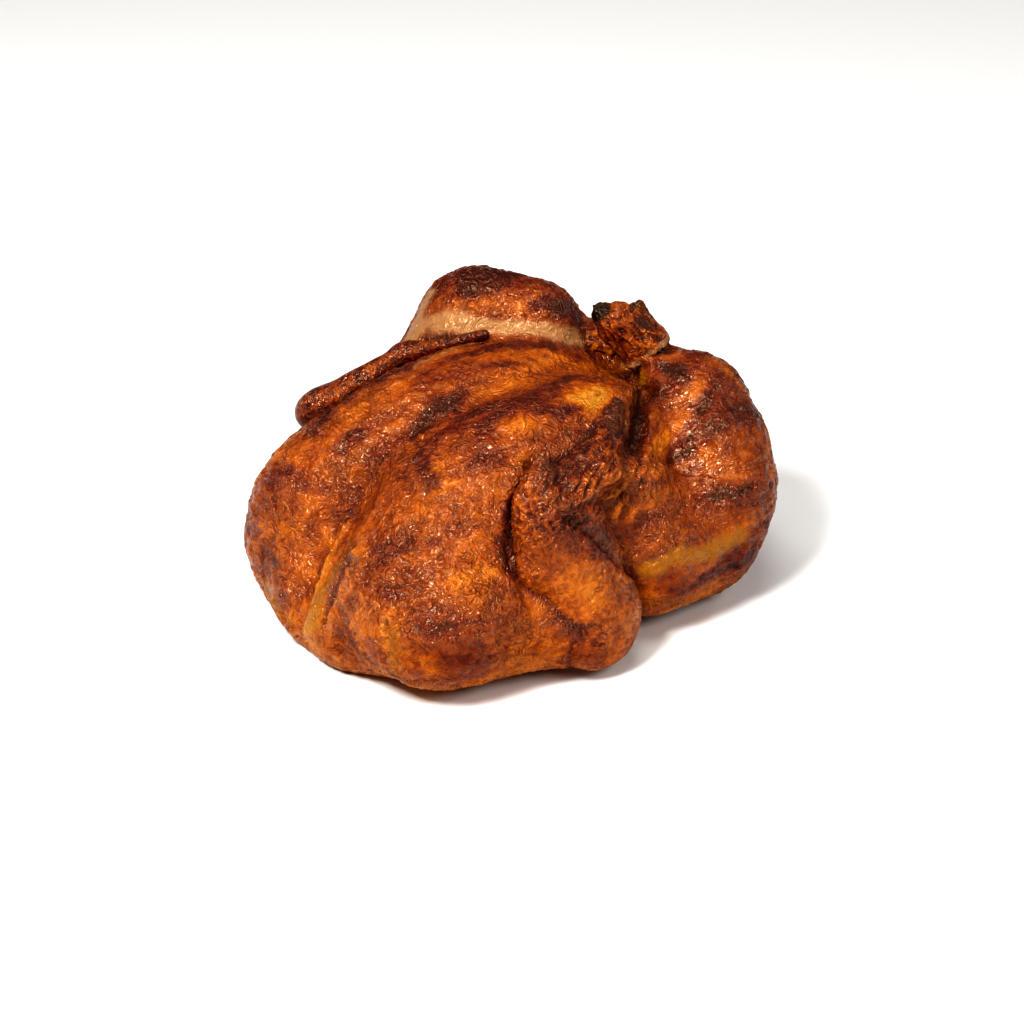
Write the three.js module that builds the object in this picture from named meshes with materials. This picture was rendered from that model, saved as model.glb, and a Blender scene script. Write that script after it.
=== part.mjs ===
// A whole roast chicken, lying on its back as it comes off the spit: plump breast up, the near wing
// folded with its pointed tip on the breast, the far wing tucked along the breast's far edge, and
// the two drumsticks crossing at the ankles over the belly.
// Units are millimetres. The bird is laid out with -X towards the neck, +X towards the tail, +Z up,
// y = 0 on its mid-plane, and the near side at -Y. The finished solid is then moved so that the
// bottom centre of its box is the origin.
import * as THREE from "three";

// ---------------------------------------------------------------- driving dimensions

const CELL = 5; // edge of the cells in which the skin is traced
const RELAX_PASSES = 4; // rounds of evening out the traced corners
const FREE_PASSES = 2; // last rounds, which leave tight creases as soft as cooked skin
const SETTLE_STEPS = 2; // moves in each earlier round that bring a corner back onto the skin
const SETTLE_REACH = 0.2; // furthest move in one pass, as a share of a cell
const SLOPE_STEP = 1.5; // spacing of the samples that give the skin's slope
const CREASE_SLOPE = 0.7; // squared slope below which a corner lies in a crease
const TINY = 1e-9; // keeps a division from meeting zero at the middle of a mass
const FLAT_EDGE = 1; // rounding where the skin meets the flat back it lies on
const SWELL_SPAN = 0.3; // width of a limb's swelling, as a share of its length
const TRACE_BOX = { low: [-105, -92], high: [105, 92], top: 112 };

// Rounded masses: centre, half-lengths along x, y and z, and the turn about each axis in degrees.
const RIB_CAGE = { centre: [-15, 0, 28], half: [61, 58, 31], turn: [0, -2, 0] };
const BREAST_BONE = { centre: [-11.5, 0, 44.5], half: [62, 40, 34], turn: [0, -8.5, 0] };
const BREAST_LOBE = { centre: [-10.5, 21.5, 50], half: [65.5, 32.5, 36], turn: [0, -8.5, -4] };
const NEAR_SHOULDER = { centre: [-51.5, -35, 28.5], half: [35, 34, 28], turn: [0, 0, 20] };
const FAR_SHOULDER = { centre: [-51, 28.5, 26], half: [37.5, 28, 40], turn: [0, 0, -20] };
const NECK_END = { centre: [-66.5, 0, 14], half: [26, 30.5, 20.5], turn: [0, 0, 0] };
const BACK = { centre: [14, 0, 25.5], half: [58, 42.5, 26], turn: [0, 4, 0] };
const BELLY = { centre: [48, 2, 38], half: [24, 32, 26], turn: [0, 0, 0] };
const VENT_FAT = { centre: [54, 14, 54], half: [13, 16, 14], turn: [0, 0, 0] };
const SIDE_SKIN = { centre: [18, -46, 48], half: [22, 9, 18], turn: [0, 0, 0] };

// Limbs: a round or flattened taper from one joint to the next. A flattened one is thinner by
// "flat" along "across".
const TAIL = { from: [64, 0, 25], to: [80, 1, 22], radii: [19, 14], flat: 0.6, across: [0, 0, 1] };

const NEAR_ANKLE = { from: [51, 6.5, 92], to: [61, -2.7, 75.5], radii: [9, 8] };
const NEAR_DRUMSTICK = { from: [66, -17, 60.5], to: [62, -38.5, 41.5], radii: [22, 22.5], swell: 2 };
const NEAR_THIGH = { from: [53.5, -38, 26], to: [29, -41, 27.5], radii: [24.5, 25] };

const FAR_ANKLE = { from: [62, 14, 75.5], to: [48, 27.5, 73.5], radii: [7.5, 9] };
const FAR_DRUMSTICK = { from: [34, 38, 80.5], to: [20.5, 53, 80], radii: [18, 20.5] };
const FAR_THIGH = { from: [17, 53, 68.5], to: [42, 38, 28], radii: [21.5, 28] };
const FAR_WEB = { from: [16, 52, 80.5], to: [-8, 58.5, 67], radii: [10, 7] };

const NEAR_UPPER_ARM = { from: [-60, -40, 26], to: [-10, -58, 20], radii: [20, 17] };
const NEAR_FOREARM = {
  from: [-7, -63, 22], to: [-16, -54.5, 59.5], radii: [19, 16.5], flat: 0.62, across: [0, -0.85, 0.5],
};
const NEAR_HAND = {
  from: [-14, -54, 69], to: [5, -49, 75.5], radii: [11, 10.5], flat: 0.65, across: [0, -0.7, 0.7],
};
const NEAR_TIP = {
  from: [5, -49, 75.5], to: [26, -30, 83], radii: [10.5, 3.6], flat: 0.7, across: [0, -0.7, 0.7],
};
const NEAR_THUMB = { from: [-20, -52, 70], to: [-18.5, -47, 79.5], radii: [8.5, 5] };

const FAR_UPPER_ARM = { from: [-56, 42, 28], to: [0, 62, 25], radii: [20, 15] };
const FAR_FOREARM = {
  from: [0, 65, 27], to: [-44, 57, 60], radii: [13, 10], flat: 0.7, across: [0, 0.8, 0.6],
};
const FAR_HAND = {
  from: [-44, 56, 62], to: [-12, 52, 75.5], radii: [10, 6.2], flat: 0.7, across: [0, 0.8, 0.6],
};
const FAR_WING_WEB = { centre: [-26, 58, 44], half: [20, 8, 15], turn: [0, -30, 0] };
const FAR_TIP = {
  from: [-12, 52, 75.5], to: [5.5, 32.5, 85.5], radii: [6.2, 3.2], flat: 0.8, across: [0, 0.7, 0.7],
};

// Hollows pressed into the skin: a route, how deep, and how wide to each side.
const NECK_HOLLOW = { route: [[-64, 0, 60], [-80, 0, 38], [-92, -2, 8]], depth: 5, width: 9 };
const KEEL_HOLLOW = {
  route: [[-60, 0, 68], [-40, 0, 80], [-10, 0, 84], [36, 0, 80]], depth: 1.5, width: 8,
};
const LEG_CLEFT = {
  route: [[50, 14, 80], [53, 2, 74], [53, -8, 64], [50, -20, 52]], depth: 5, width: 4.5,
};
const VENT_HOLLOW = { route: [[70, -8, 38], [71, 6, 46]], depth: 7, width: 8 };

// How far the skin is drawn across each junction.
const BLEND = {
  lobes: 14, trunk: 14, shoulder: 16, back: 20, belly: 12, vent: 8, tail: 10,
  ankle: 8, knee: 10, hip: 12, web: 10, nearLeg: 7, farLeg: 7, sideSkin: 8,
  elbow: 6, wrist: 5, tip: 4, nearWing: 5, farWing: 6,
};

const SKIN = { color: 0x9a4a1c, roughness: 0.38, metalness: 0 };

// ---------------------------------------------------------------- distances to the forms

const dot = (a, b) => a[0] * b[0] + a[1] * b[1] + a[2] * b[2];
const minus = (a, b) => [a[0] - b[0], a[1] - b[1], a[2] - b[2]];
const scaled = (a, s) => [a[0] * s, a[1] * s, a[2] * s];
const length = (a) => Math.hypot(a[0], a[1], a[2]);
const mirrored = ({ centre: [x, y, z], half, turn: [a, b, c] }) => (
  { centre: [x, -y, z], half, turn: [-a, b, -c] }
);

// Distance to a rounded mass, negative inside it.
function mass({ centre, half, turn }) {
  const euler = new THREE.Euler(...turn.map(THREE.MathUtils.degToRad), "ZYX");
  const e = new THREE.Matrix4().makeRotationFromEuler(euler).elements;
  const axes = [[e[0], e[1], e[2]], [e[4], e[5], e[6]], [e[8], e[9], e[10]]];
  return (point) => {
    const arm = minus(point, centre);
    const near = axes.map((axis, i) => dot(arm, axis) / half[i]);
    const steep = near.map((value, i) => value / half[i]);
    const reach = length(near);
    return (reach * (reach - 1)) / Math.max(length(steep), TINY);
  };
}

// Distance to a limb, which swells by "swell" halfway along.
function limb({ from, to, radii, flat = 1, across = null, swell = 0 }) {
  const span = minus(to, from);
  const reach = length(span);
  const along = scaled(span, 1 / reach);
  let thin = null;
  if (across) {
    thin = minus(across, scaled(along, dot(across, along)));
    thin = scaled(thin, 1 / length(thin));
  }
  return (point) => {
    const arm = minus(point, from);
    const share = Math.min(Math.max(dot(arm, along) / reach, 0), 1);
    let off = minus(arm, scaled(along, share * reach));
    if (thin) off = minus(off, scaled(thin, dot(off, thin) * (1 - 1 / flat)));
    const bulge = swell * Math.exp(-(((share - 0.5) / SWELL_SPAN) ** 2));
    return length(off) - (radii[0] + (radii[1] - radii[0]) * share + bulge);
  };
}

// Two forms grown together, with the skin drawn across the junction.
const joined = (a, b, blend) => (point) => {
  const [first, second] = [a(point), b(point)];
  const overlap = Math.max(blend - Math.abs(first - second), 0) / blend;
  return Math.min(first, second) - (overlap * overlap * blend) / 4;
};

// What two forms have in common, with a rounded edge.
const common = (a, b, edge) => {
  const outside = joined((point) => -a(point), (point) => -b(point), edge);
  return (point) => -outside(point);
};

function distanceToRoute(point, route) {
  let nearest = Infinity;
  for (let i = 1; i < route.length; i += 1) {
    const span = minus(route[i], route[i - 1]);
    const arm = minus(point, route[i - 1]);
    const share = Math.min(Math.max(dot(arm, span) / dot(span, span), 0), 1);
    nearest = Math.min(nearest, length(minus(arm, scaled(span, share))));
  }
  return nearest;
}

// A form with a soft hollow pressed into it along a route.
const pressed = (form, { route, depth, width }) => (point) => (
  form(point) + depth * Math.exp(-((distanceToRoute(point, route) / width) ** 2))
);

// Forms joined one after the other, each with its own blend.
function grown(first, ...rest) {
  return rest.reduce((form, [next, blend]) => joined(form, next, blend), first);
}

// ---------------------------------------------------------------- the bird

function trunk() {
  const breast = grown(
    mass(BREAST_BONE),
    [mass(mirrored(BREAST_LOBE)), BLEND.lobes],
    [mass(BREAST_LOBE), BLEND.lobes],
  );
  let form = grown(
    mass(RIB_CAGE),
    [breast, BLEND.trunk],
    [mass(NEAR_SHOULDER), BLEND.shoulder],
    [mass(FAR_SHOULDER), BLEND.shoulder],
    [mass(NECK_END), BLEND.trunk],
    [mass(BACK), BLEND.back],
  );
  form = pressed(form, NECK_HOLLOW);
  form = pressed(form, KEEL_HOLLOW);
  return grown(
    form,
    [mass(BELLY), BLEND.belly],
    [mass(VENT_FAT), BLEND.vent],
    [limb(TAIL), BLEND.tail],
  );
}

function nearLeg() {
  return grown(
    limb(NEAR_ANKLE),
    [limb(NEAR_DRUMSTICK), BLEND.ankle],
    [limb(NEAR_THIGH), BLEND.knee],
  );
}

function farLeg() {
  return grown(
    limb(FAR_ANKLE),
    [limb(FAR_DRUMSTICK), BLEND.ankle],
    [limb(FAR_THIGH), BLEND.hip],
    [limb(FAR_WEB), BLEND.web],
  );
}

function nearWing() {
  return grown(
    limb(NEAR_UPPER_ARM),
    [limb(NEAR_FOREARM), BLEND.elbow],
    [limb(NEAR_HAND), BLEND.wrist],
    [limb(NEAR_TIP), BLEND.tip],
    [limb(NEAR_THUMB), BLEND.tip],
  );
}

function farWing() {
  return grown(
    limb(FAR_UPPER_ARM),
    [limb(FAR_FOREARM), BLEND.knee],
    [mass(FAR_WING_WEB), BLEND.knee],
    [limb(FAR_HAND), BLEND.elbow],
    [limb(FAR_TIP), BLEND.wrist],
  );
}

function bird() {
  let form = grown(trunk(), [nearLeg(), BLEND.nearLeg], [farLeg(), BLEND.farLeg]);
  form = pressed(form, LEG_CLEFT);
  form = pressed(form, VENT_HOLLOW);
  form = grown(
    form,
    [mass(SIDE_SKIN), BLEND.sideSkin],
    [nearWing(), BLEND.nearWing],
    [farWing(), BLEND.farWing],
  );
  return common(form, (point) => -point[2], FLAT_EDGE);
}

// ---------------------------------------------------------------- tracing the skin

// The distance at every grid corner. The lowest two levels lie half a cell below and above the
// surface the bird rests on, so its flat back comes out level.
function sampled(form) {
  const [lowX, lowY] = TRACE_BOX.low;
  const lowZ = -CELL / 2;
  const counts = [
    Math.ceil((TRACE_BOX.high[0] - lowX) / CELL) + 1,
    Math.ceil((TRACE_BOX.high[1] - lowY) / CELL) + 1,
    Math.ceil((TRACE_BOX.top - lowZ) / CELL) + 1,
  ];
  const place = (i, j, k) => [lowX + i * CELL, lowY + j * CELL, lowZ + k * CELL];
  const index = (i, j, k) => (i * counts[1] + j) * counts[2] + k;
  const values = new Float64Array(counts[0] * counts[1] * counts[2]);
  for (let i = 0; i < counts[0]; i += 1) {
    for (let j = 0; j < counts[1]; j += 1) {
      for (let k = 0; k < counts[2]; k += 1) values[index(i, j, k)] = form(place(i, j, k));
    }
  }
  return { counts, place, index, values };
}

const CELL_CORNERS = [
  [0, 0, 0], [1, 0, 0], [0, 1, 0], [1, 1, 0], [0, 0, 1], [1, 0, 1], [0, 1, 1], [1, 1, 1],
];

// Every pair of cell corners that differs along one axis.
const CELL_EDGES = CELL_CORNERS.flatMap((a, first) => (
  CELL_CORNERS.map((b, second) => [first, second, length(minus(a, b))])
    .filter(([one, other, gap]) => one < other && gap === 1)
    .map(([one, other]) => [one, other])
));

// The four edges of each of a cell's six sides.
const CELL_SIDES = [0, 1, 2].flatMap((axis) => [0, 1].map((side) => (
  CELL_EDGES.map((ends, id) => (ends.every((end) => CELL_CORNERS[end][axis] === side) ? id : -1))
    .filter((id) => id >= 0)
)));

// The cell edges that the skin crosses, grouped into the separate sheets of skin in the cell.
// Where it crosses all four edges of a side, the sheets go round the corners that are inside.
function sheets(inside) {
  const group = CELL_EDGES.map(([a, b], id) => (inside[a] < 0 === inside[b] < 0 ? -1 : id));
  const link = (one, other) => {
    const [from, to] = [group[one], group[other]];
    group.forEach((value, id) => {
      if (value === from) group[id] = to;
    });
  };
  for (const side of CELL_SIDES) {
    const crossed = side.filter((id) => group[id] >= 0);
    if (crossed.length === 2) link(crossed[0], crossed[1]);
    if (crossed.length < 4) continue;
    for (const corner of CELL_CORNERS.keys()) {
      const meeting = crossed.filter((id) => CELL_EDGES[id].includes(corner));
      if (inside[corner] < 0 && meeting.length === 2) link(meeting[0], meeting[1]);
    }
  }
  return group;
}

// For each sheet of skin in a cell, the middle of the places where it crosses the cell's edges.
function crossings(grid, i, j, k) {
  const inside = CELL_CORNERS.map(([a, b, c]) => grid.values[grid.index(i + a, j + b, k + c)]);
  const group = sheets(inside);
  const corner = grid.place(i, j, k);
  return [...new Set(group)].filter((sheet) => sheet >= 0).map((sheet) => {
    const edges = CELL_EDGES.map((ends, id) => id).filter((id) => group[id] === sheet);
    const sum = [0, 0, 0];
    for (const [a, b] of edges.map((id) => CELL_EDGES[id])) {
      const share = inside[a] / (inside[a] - inside[b]);
      for (let axis = 0; axis < 3; axis += 1) {
        sum[axis] += CELL_CORNERS[a][axis] + share * (CELL_CORNERS[b][axis] - CELL_CORNERS[a][axis]);
      }
    }
    return { edges, point: corner.map((value, axis) => value + (CELL * sum[axis]) / edges.length) };
  });
}

function slope(form, point) {
  return [0, 1, 2].map((axis) => {
    const ahead = [...point];
    const behind = [...point];
    ahead[axis] += SLOPE_STEP;
    behind[axis] -= SLOPE_STEP;
    return (form(ahead) - form(behind)) / (2 * SLOPE_STEP);
  });
}

const isLying = (point) => Math.abs(point[2]) < FLAT_EDGE / 2;

// A corner moved onto the skin. One on the flat back keeps its level, and one in a crease stays put.
function settled(form, point) {
  let place = point;
  const lying = isLying(point);
  for (let pass = 0; pass < SETTLE_STEPS; pass += 1) {
    const steep = slope(form, place);
    if (dot(steep, steep) < CREASE_SLOPE) break;
    let step = scaled(steep, -form(place) / dot(steep, steep));
    const limit = SETTLE_REACH * CELL;
    if (length(step) > limit) step = scaled(step, limit / length(step));
    if (lying) step[2] = 0;
    place = [place[0] + step[0], place[1] + step[1], place[2] + step[2]];
  }
  return place;
}

// One corner for each sheet of skin in each cell, and a four-sided face round each grid edge that
// the skin crosses, split along its shorter diagonal.
function traced(form) {
  const grid = sampled(form);
  const [countX, countY, countZ] = grid.counts;
  const corners = [];
  const cornerOf = new Map();
  for (let i = 0; i < countX - 1; i += 1) {
    for (let j = 0; j < countY - 1; j += 1) {
      for (let k = 0; k < countZ - 1; k += 1) {
        for (const { edges, point } of crossings(grid, i, j, k)) {
          const cell = grid.index(i, j, k);
          edges.forEach((id) => cornerOf.set(cell * CELL_EDGES.length + id, corners.length));
          corners.push(point);
        }
      }
    }
  }
  const faces = [];
  const addFace = (ring) => {
    const [a, b, c, d] = ring.map((id) => corners[id]);
    const [p, q, r, s] = ring;
    if (length(minus(a, c)) <= length(minus(b, d))) faces.push(p, q, r, p, r, s);
    else faces.push(q, r, s, q, s, p);
  };
  const axes = [[1, 0, 0], [0, 1, 0], [0, 0, 1]];
  const cornerId = ([x, y, z]) => x + 2 * y + 4 * z;
  for (let i = 1; i < countX - 1; i += 1) {
    for (let j = 1; j < countY - 1; j += 1) {
      for (let k = 0; k < countZ - 1; k += 1) {
        const here = grid.values[grid.index(i, j, k)];
        axes.forEach((step, axis) => {
          const there = grid.values[grid.index(i + step[0], j + step[1], k + step[2])];
          if (here < 0 === there < 0) return;
          const one = axes[(axis + 1) % 3];
          const two = axes[(axis + 2) % 3];
          const ring = [[1, 1], [0, 1], [0, 0], [1, 0]].map(([a, b]) => {
            const back = [0, 1, 2].map((n) => a * one[n] + b * two[n]);
            const start = cornerId(back);
            const edge = CELL_EDGES.findIndex(([from, to]) => (
              from === start && to === start + cornerId(step)
            ));
            const cell = grid.index(i - back[0], j - back[1], k - back[2]);
            return cornerOf.get(cell * CELL_EDGES.length + edge);
          });
          addFace(here < 0 ? ring : ring.reverse());
        });
      }
    }
  }
  return { corners, faces };
}

// The corners evened out: each moves halfway to the middle of its neighbours, and back to the skin
// in all but the last rounds.
function relaxed(form, { corners, faces }) {
  const neighbours = corners.map(() => new Set());
  for (let first = 0; first < faces.length; first += 3) {
    const [a, b, c] = faces.slice(first, first + 3);
    neighbours[a].add(b).add(c);
    neighbours[b].add(a).add(c);
    neighbours[c].add(a).add(b);
  }
  let places = corners;
  for (let pass = 0; pass < RELAX_PASSES; pass += 1) {
    places = places.map((place, id) => {
      const near = [...neighbours[id]].map((other) => places[other]);
      const middle = place.map((value, axis) => {
        const mean = near.reduce((sum, other) => sum + other[axis], 0) / near.length;
        return (value + mean) / 2;
      });
      if (isLying(place)) middle[2] = place[2];
      return pass < RELAX_PASSES - FREE_PASSES ? settled(form, middle) : middle;
    });
  }
  return { corners: places, faces };
}

// ---------------------------------------------------------------- the finished part

function roastChicken() {
  const form = bird();
  const { corners, faces } = relaxed(form, traced(form));
  const geometry = new THREE.BufferGeometry();
  geometry.setAttribute("position", new THREE.Float32BufferAttribute(corners.flat(), 3));
  geometry.setIndex(faces);
  geometry.computeBoundingBox();
  const { min, max } = geometry.boundingBox;
  geometry.translate(-(min.x + max.x) / 2, -(min.y + max.y) / 2, -min.z);
  geometry.computeVertexNormals();
  const mesh = new THREE.Mesh(geometry, new THREE.MeshStandardMaterial(SKIN));
  mesh.name = "roast_chicken";
  return mesh;
}

const part = new THREE.Group();
part.add(roastChicken());

export default part;
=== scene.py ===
"""A whole roast chicken: browned, crinkled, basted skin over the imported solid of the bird.

Sizes of the forms are millimetres in the bird's own layout: -X is the neck, +X the tail, y = 0 the
mid-plane, -Y the near side, +Z up, and z = 0 the surface the bird lies on.
"""

import math

import bpy
import numpy as np
from mathutils import Euler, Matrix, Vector, noise


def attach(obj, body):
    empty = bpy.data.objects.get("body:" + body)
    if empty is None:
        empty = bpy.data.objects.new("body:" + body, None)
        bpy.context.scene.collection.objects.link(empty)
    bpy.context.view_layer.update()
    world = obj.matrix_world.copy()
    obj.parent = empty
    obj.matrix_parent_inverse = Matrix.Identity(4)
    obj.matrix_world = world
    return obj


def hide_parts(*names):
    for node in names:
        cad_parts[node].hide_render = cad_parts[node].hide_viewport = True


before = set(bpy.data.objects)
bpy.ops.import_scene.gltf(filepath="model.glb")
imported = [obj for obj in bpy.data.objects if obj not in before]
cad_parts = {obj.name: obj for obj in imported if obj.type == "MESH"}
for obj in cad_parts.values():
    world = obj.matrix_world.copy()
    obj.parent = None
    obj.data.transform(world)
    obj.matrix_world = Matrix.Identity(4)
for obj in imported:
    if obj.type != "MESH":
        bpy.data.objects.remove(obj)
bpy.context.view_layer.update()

bl_info = {
    "name": "Roast Chicken",
    "version": (1, 0, 0),
    "blender": (4, 5, 0),
    "location": "3D View > Sidebar > Roast Chicken",
    "description": "Builds the skin, wings, ankles and browning of a whole roast chicken",
    "category": "Add Mesh",
}

MM = 0.001
BIRD_PLACE = np.array([-1.0556, -1.1992, 0.0])  # where the bird's own middle lies in the frame

# ------------------------------------------------------------------ forms of the bird, in mm

# Rounded masses: centre, half-lengths along x, y and z, and the turn about each axis in degrees.
RIB_CAGE = {"centre": (-15, 0, 28), "half": (61, 58, 31), "turn": (0, -2, 0)}
BREAST_BONE = {"centre": (-11.5, 0, 44.5), "half": (62, 40, 34), "turn": (0, -8.5, 0)}
NEAR_LOBE = {"centre": (-10.5, -21.5, 50), "half": (65.5, 32.5, 36), "turn": (0, -8.5, 4)}
FAR_LOBE = {"centre": (-10.5, 21.5, 50), "half": (65.5, 32.5, 36), "turn": (0, -8.5, -4)}
NEAR_SHOULDER = {"centre": (-51.5, -35, 28.5), "half": (35, 34, 28), "turn": (0, 0, 20)}
FAR_SHOULDER = {"centre": (-51, 28.5, 26), "half": (37.5, 28, 40), "turn": (0, 0, -20)}
NECK_END = {"centre": (-66.5, 0, 14), "half": (26, 30.5, 20.5)}
BACK = {"centre": (14, 0, 25.5), "half": (58, 42.5, 26), "turn": (0, 4, 0)}
BELLY = {"centre": (48, 2, 38), "half": (24, 32, 26)}
VENT_FAT = {"centre": (54, 14, 54), "half": (13, 16, 14)}
SIDE_SKIN = {"centre": (18, -46, 48), "half": (22, 9, 18)}

# Limbs: a round or flattened taper from one joint to the next. A flattened one is thinner by
# "flat" along "across".
TAIL = {"ends": ((64, 0, 25), (80, 1, 22)), "radii": (19, 14), "flat": 0.6, "across": (0, 0, 1)}
NEAR_ANKLE = {"ends": ((51, 6.5, 92), (61, -2.7, 75.5)), "radii": (6, 7)}
NEAR_ANKLE_ROOT = {"ends": ((56, 3, 78), (60, -3, 68)), "radii": (5.5, 7)}
NEAR_DRUMSTICK = {"ends": ((66, -17, 60.5), (62, -38.5, 41.5)), "radii": (22, 22.5), "swell": 2}
NEAR_THIGH = {"ends": ((53.5, -38, 26), (29, -41, 27.5)), "radii": (24.5, 25)}
FAR_ANKLE = {"ends": ((62, 14, 75.5), (48, 27.5, 73.5)), "radii": (7.5, 9)}
FAR_DRUMSTICK = {"ends": ((34, 38, 80.5), (20.5, 53, 80)), "radii": (18, 20.5)}
FAR_THIGH = {"ends": ((17, 53, 68.5), (42, 38, 28)), "radii": (21.5, 28)}
FAR_WEB = {"ends": ((16, 52, 80.5), (-8, 58.5, 67)), "radii": (10, 7)}
NEAR_UPPER_ARM = {"ends": ((-60, -40, 26), (-10, -58, 20)), "radii": (20, 17)}
NEAR_FOREARM = {
    "ends": ((-7, -63, 22), (-16, -54.5, 59.5)), "radii": (19, 16.5),
    "flat": 0.62, "across": (0, -0.85, 0.5),
}
NEAR_HAND = {
    "ends": ((-14, -54, 68), (3, -49.5, 72.5)), "radii": (10.5, 8.4),
    "flat": 0.62, "across": (0, -0.7, 0.7),
}
NEAR_TIP = {
    "ends": ((3, -49.5, 72.5), (25.5, -30, 82)), "radii": (8.4, 1.8),
    "flat": 0.62, "across": (0, -0.7, 0.7),
}
NEAR_PALM = {
    "ends": ((-23, -51.5, 67), (-25.5, -58, 46)), "radii": (9, 10),
    "flat": 0.6, "across": (0, -0.85, 0.5),
}
NEAR_THUMB = {"ends": ((-21, -51.5, 70), (-17.5, -46, 80)), "radii": (8, 3)}
FAR_UPPER_ARM = {"ends": ((-56, 42, 28), (0, 62, 25)), "radii": (20, 15)}
FAR_FOREARM = {
    "ends": ((0, 65, 27), (-44, 57, 60)), "radii": (13, 10), "flat": 0.7, "across": (0, 0.8, 0.6),
}
FAR_WING_WEB = {"centre": (-26, 58, 44), "half": (20, 8, 15), "turn": (0, -30, 0)}
FAR_HAND = {
    "ends": ((-44, 56, 62), (-12, 52, 75.5)), "radii": (9, 5.2),
    "flat": 0.7, "across": (0, 0.8, 0.6),
}
FAR_TIP = {
    "ends": ((-12, 52, 75.5), (8.1, 30.4, 87.4)), "radii": (5.4, 2.1), "flat": 0.8,
    "across": (0, 0.7, 0.7),
}

# The cut ankles: a cuff of torn skin with two horns of sinew at its end. A horn's char spreads in
# full, or only to the share of it that "burnt" gives.
NEAR_CUFF = {
    "ends": ((50.8, 5.8, 92.5), (58.8, -1, 79.5)), "radii": (8.4, 9.4), "flat": 0.84,
    "across": (0.47, 0.72, -0.5),
}
NEAR_HORNS = (
    {"ends": ((48, 7, 90), (43.6, 9.8, 95.8)), "radii": (5.5, 2.6)},
    {"ends": ((53.5, 4, 91), (56.0, 1.8, 98.2)), "radii": (5.5, 2.2), "burnt": 0.6},
)
NEAR_MOUTH = {"route": ((46, 2, 101), (54, 10, 99)), "depth": 5, "width": 4.5}
FAR_CUFF = {
    "ends": ((63.5, 12.5, 76), (50, 26, 74)), "radii": (7.8, 8.8), "flat": 0.8,
    "across": (0.3, 0.3, 0.9),
}
FAR_HORNS = (
    {"ends": ((62, 11, 76), (69.5, 9.5, 79)), "radii": (5, 2.2)},
    {"ends": ((62, 15, 76), (66.0, 17.5, 74)), "radii": (5, 2.4)},
)
FAR_MOUTH = {"route": ((71, 13, 82), (69, 13, 72)), "depth": 4, "width": 4}
HEM_WAVE, HEM_WIDTH, HEM_SEED = 1.6, 5, 63  # the torn hem of a cuff: height and width of its waves

# Hollows pressed into the skin: a route, how deep, and how wide to each side.
NECK_HOLLOW = {"route": ((-64, 0, 60), (-80, 0, 38), (-92, -2, 8)), "depth": 5, "width": 9}
KEEL_HOLLOW = {
    "route": ((-60, 0, 68), (-40, 0, 80), (-10, 0, 84), (36, 0, 80)), "depth": 1.5, "width": 8,
}
LEG_CLEFT = {
    "route": ((50, 14, 80), (53, 2, 74), (53, -8, 64), (50, -20, 52)), "depth": 5, "width": 4.5,
}
WING_BED = {
    "route": (
        (-16, -42, 78), (-21, -44.5, 74), (-26.5, -47.5, 69), (-31.5, -51, 62), (-35, -55, 55),
        (-37, -57.5, 50), (-35, -61, 44), (-34.5, -64, 38), (-33, -66, 28),
    ),
    "depth": 3.2, "width": 2.6,
}
VENT_HOLLOW = {"route": ((70, -8, 38), (71, 6, 46)), "depth": 7, "width": 8}

# How far the skin is drawn across each junction.
BLEND = {
    "lobes": 14, "trunk": 14, "shoulder": 16, "back": 20, "belly": 12, "vent": 8, "tail": 10,
    "ankle": 8, "knee": 10, "hip": 12, "web": 10, "nearLeg": 5, "farLeg": 6, "sideSkin": 8,
    "elbow": 5, "wrist": 4, "tip": 3, "horn": 3.5, "cut": 1.5,
}
FLAT_EDGE = 1  # rounding where the skin meets the flat back it lies on

# ------------------------------------------------------------------ browning, in mm and shares


def linear(hex_colour):
    """An sRGB hex colour as linear red, green, blue and alpha."""
    parts = [int(hex_colour[i:i + 2], 16) / 255 for i in (1, 3, 5)]
    return [p / 12.92 if p <= 0.04045 else ((p + 0.055) / 1.055) ** 2.4 for p in parts] + [1.0]


def stroke(amount, width, *route):
    """One brush stroke of browning or fat: its strength at the middle, half-width and route."""
    return {"amount": amount, "width": width, "route": route}


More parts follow.
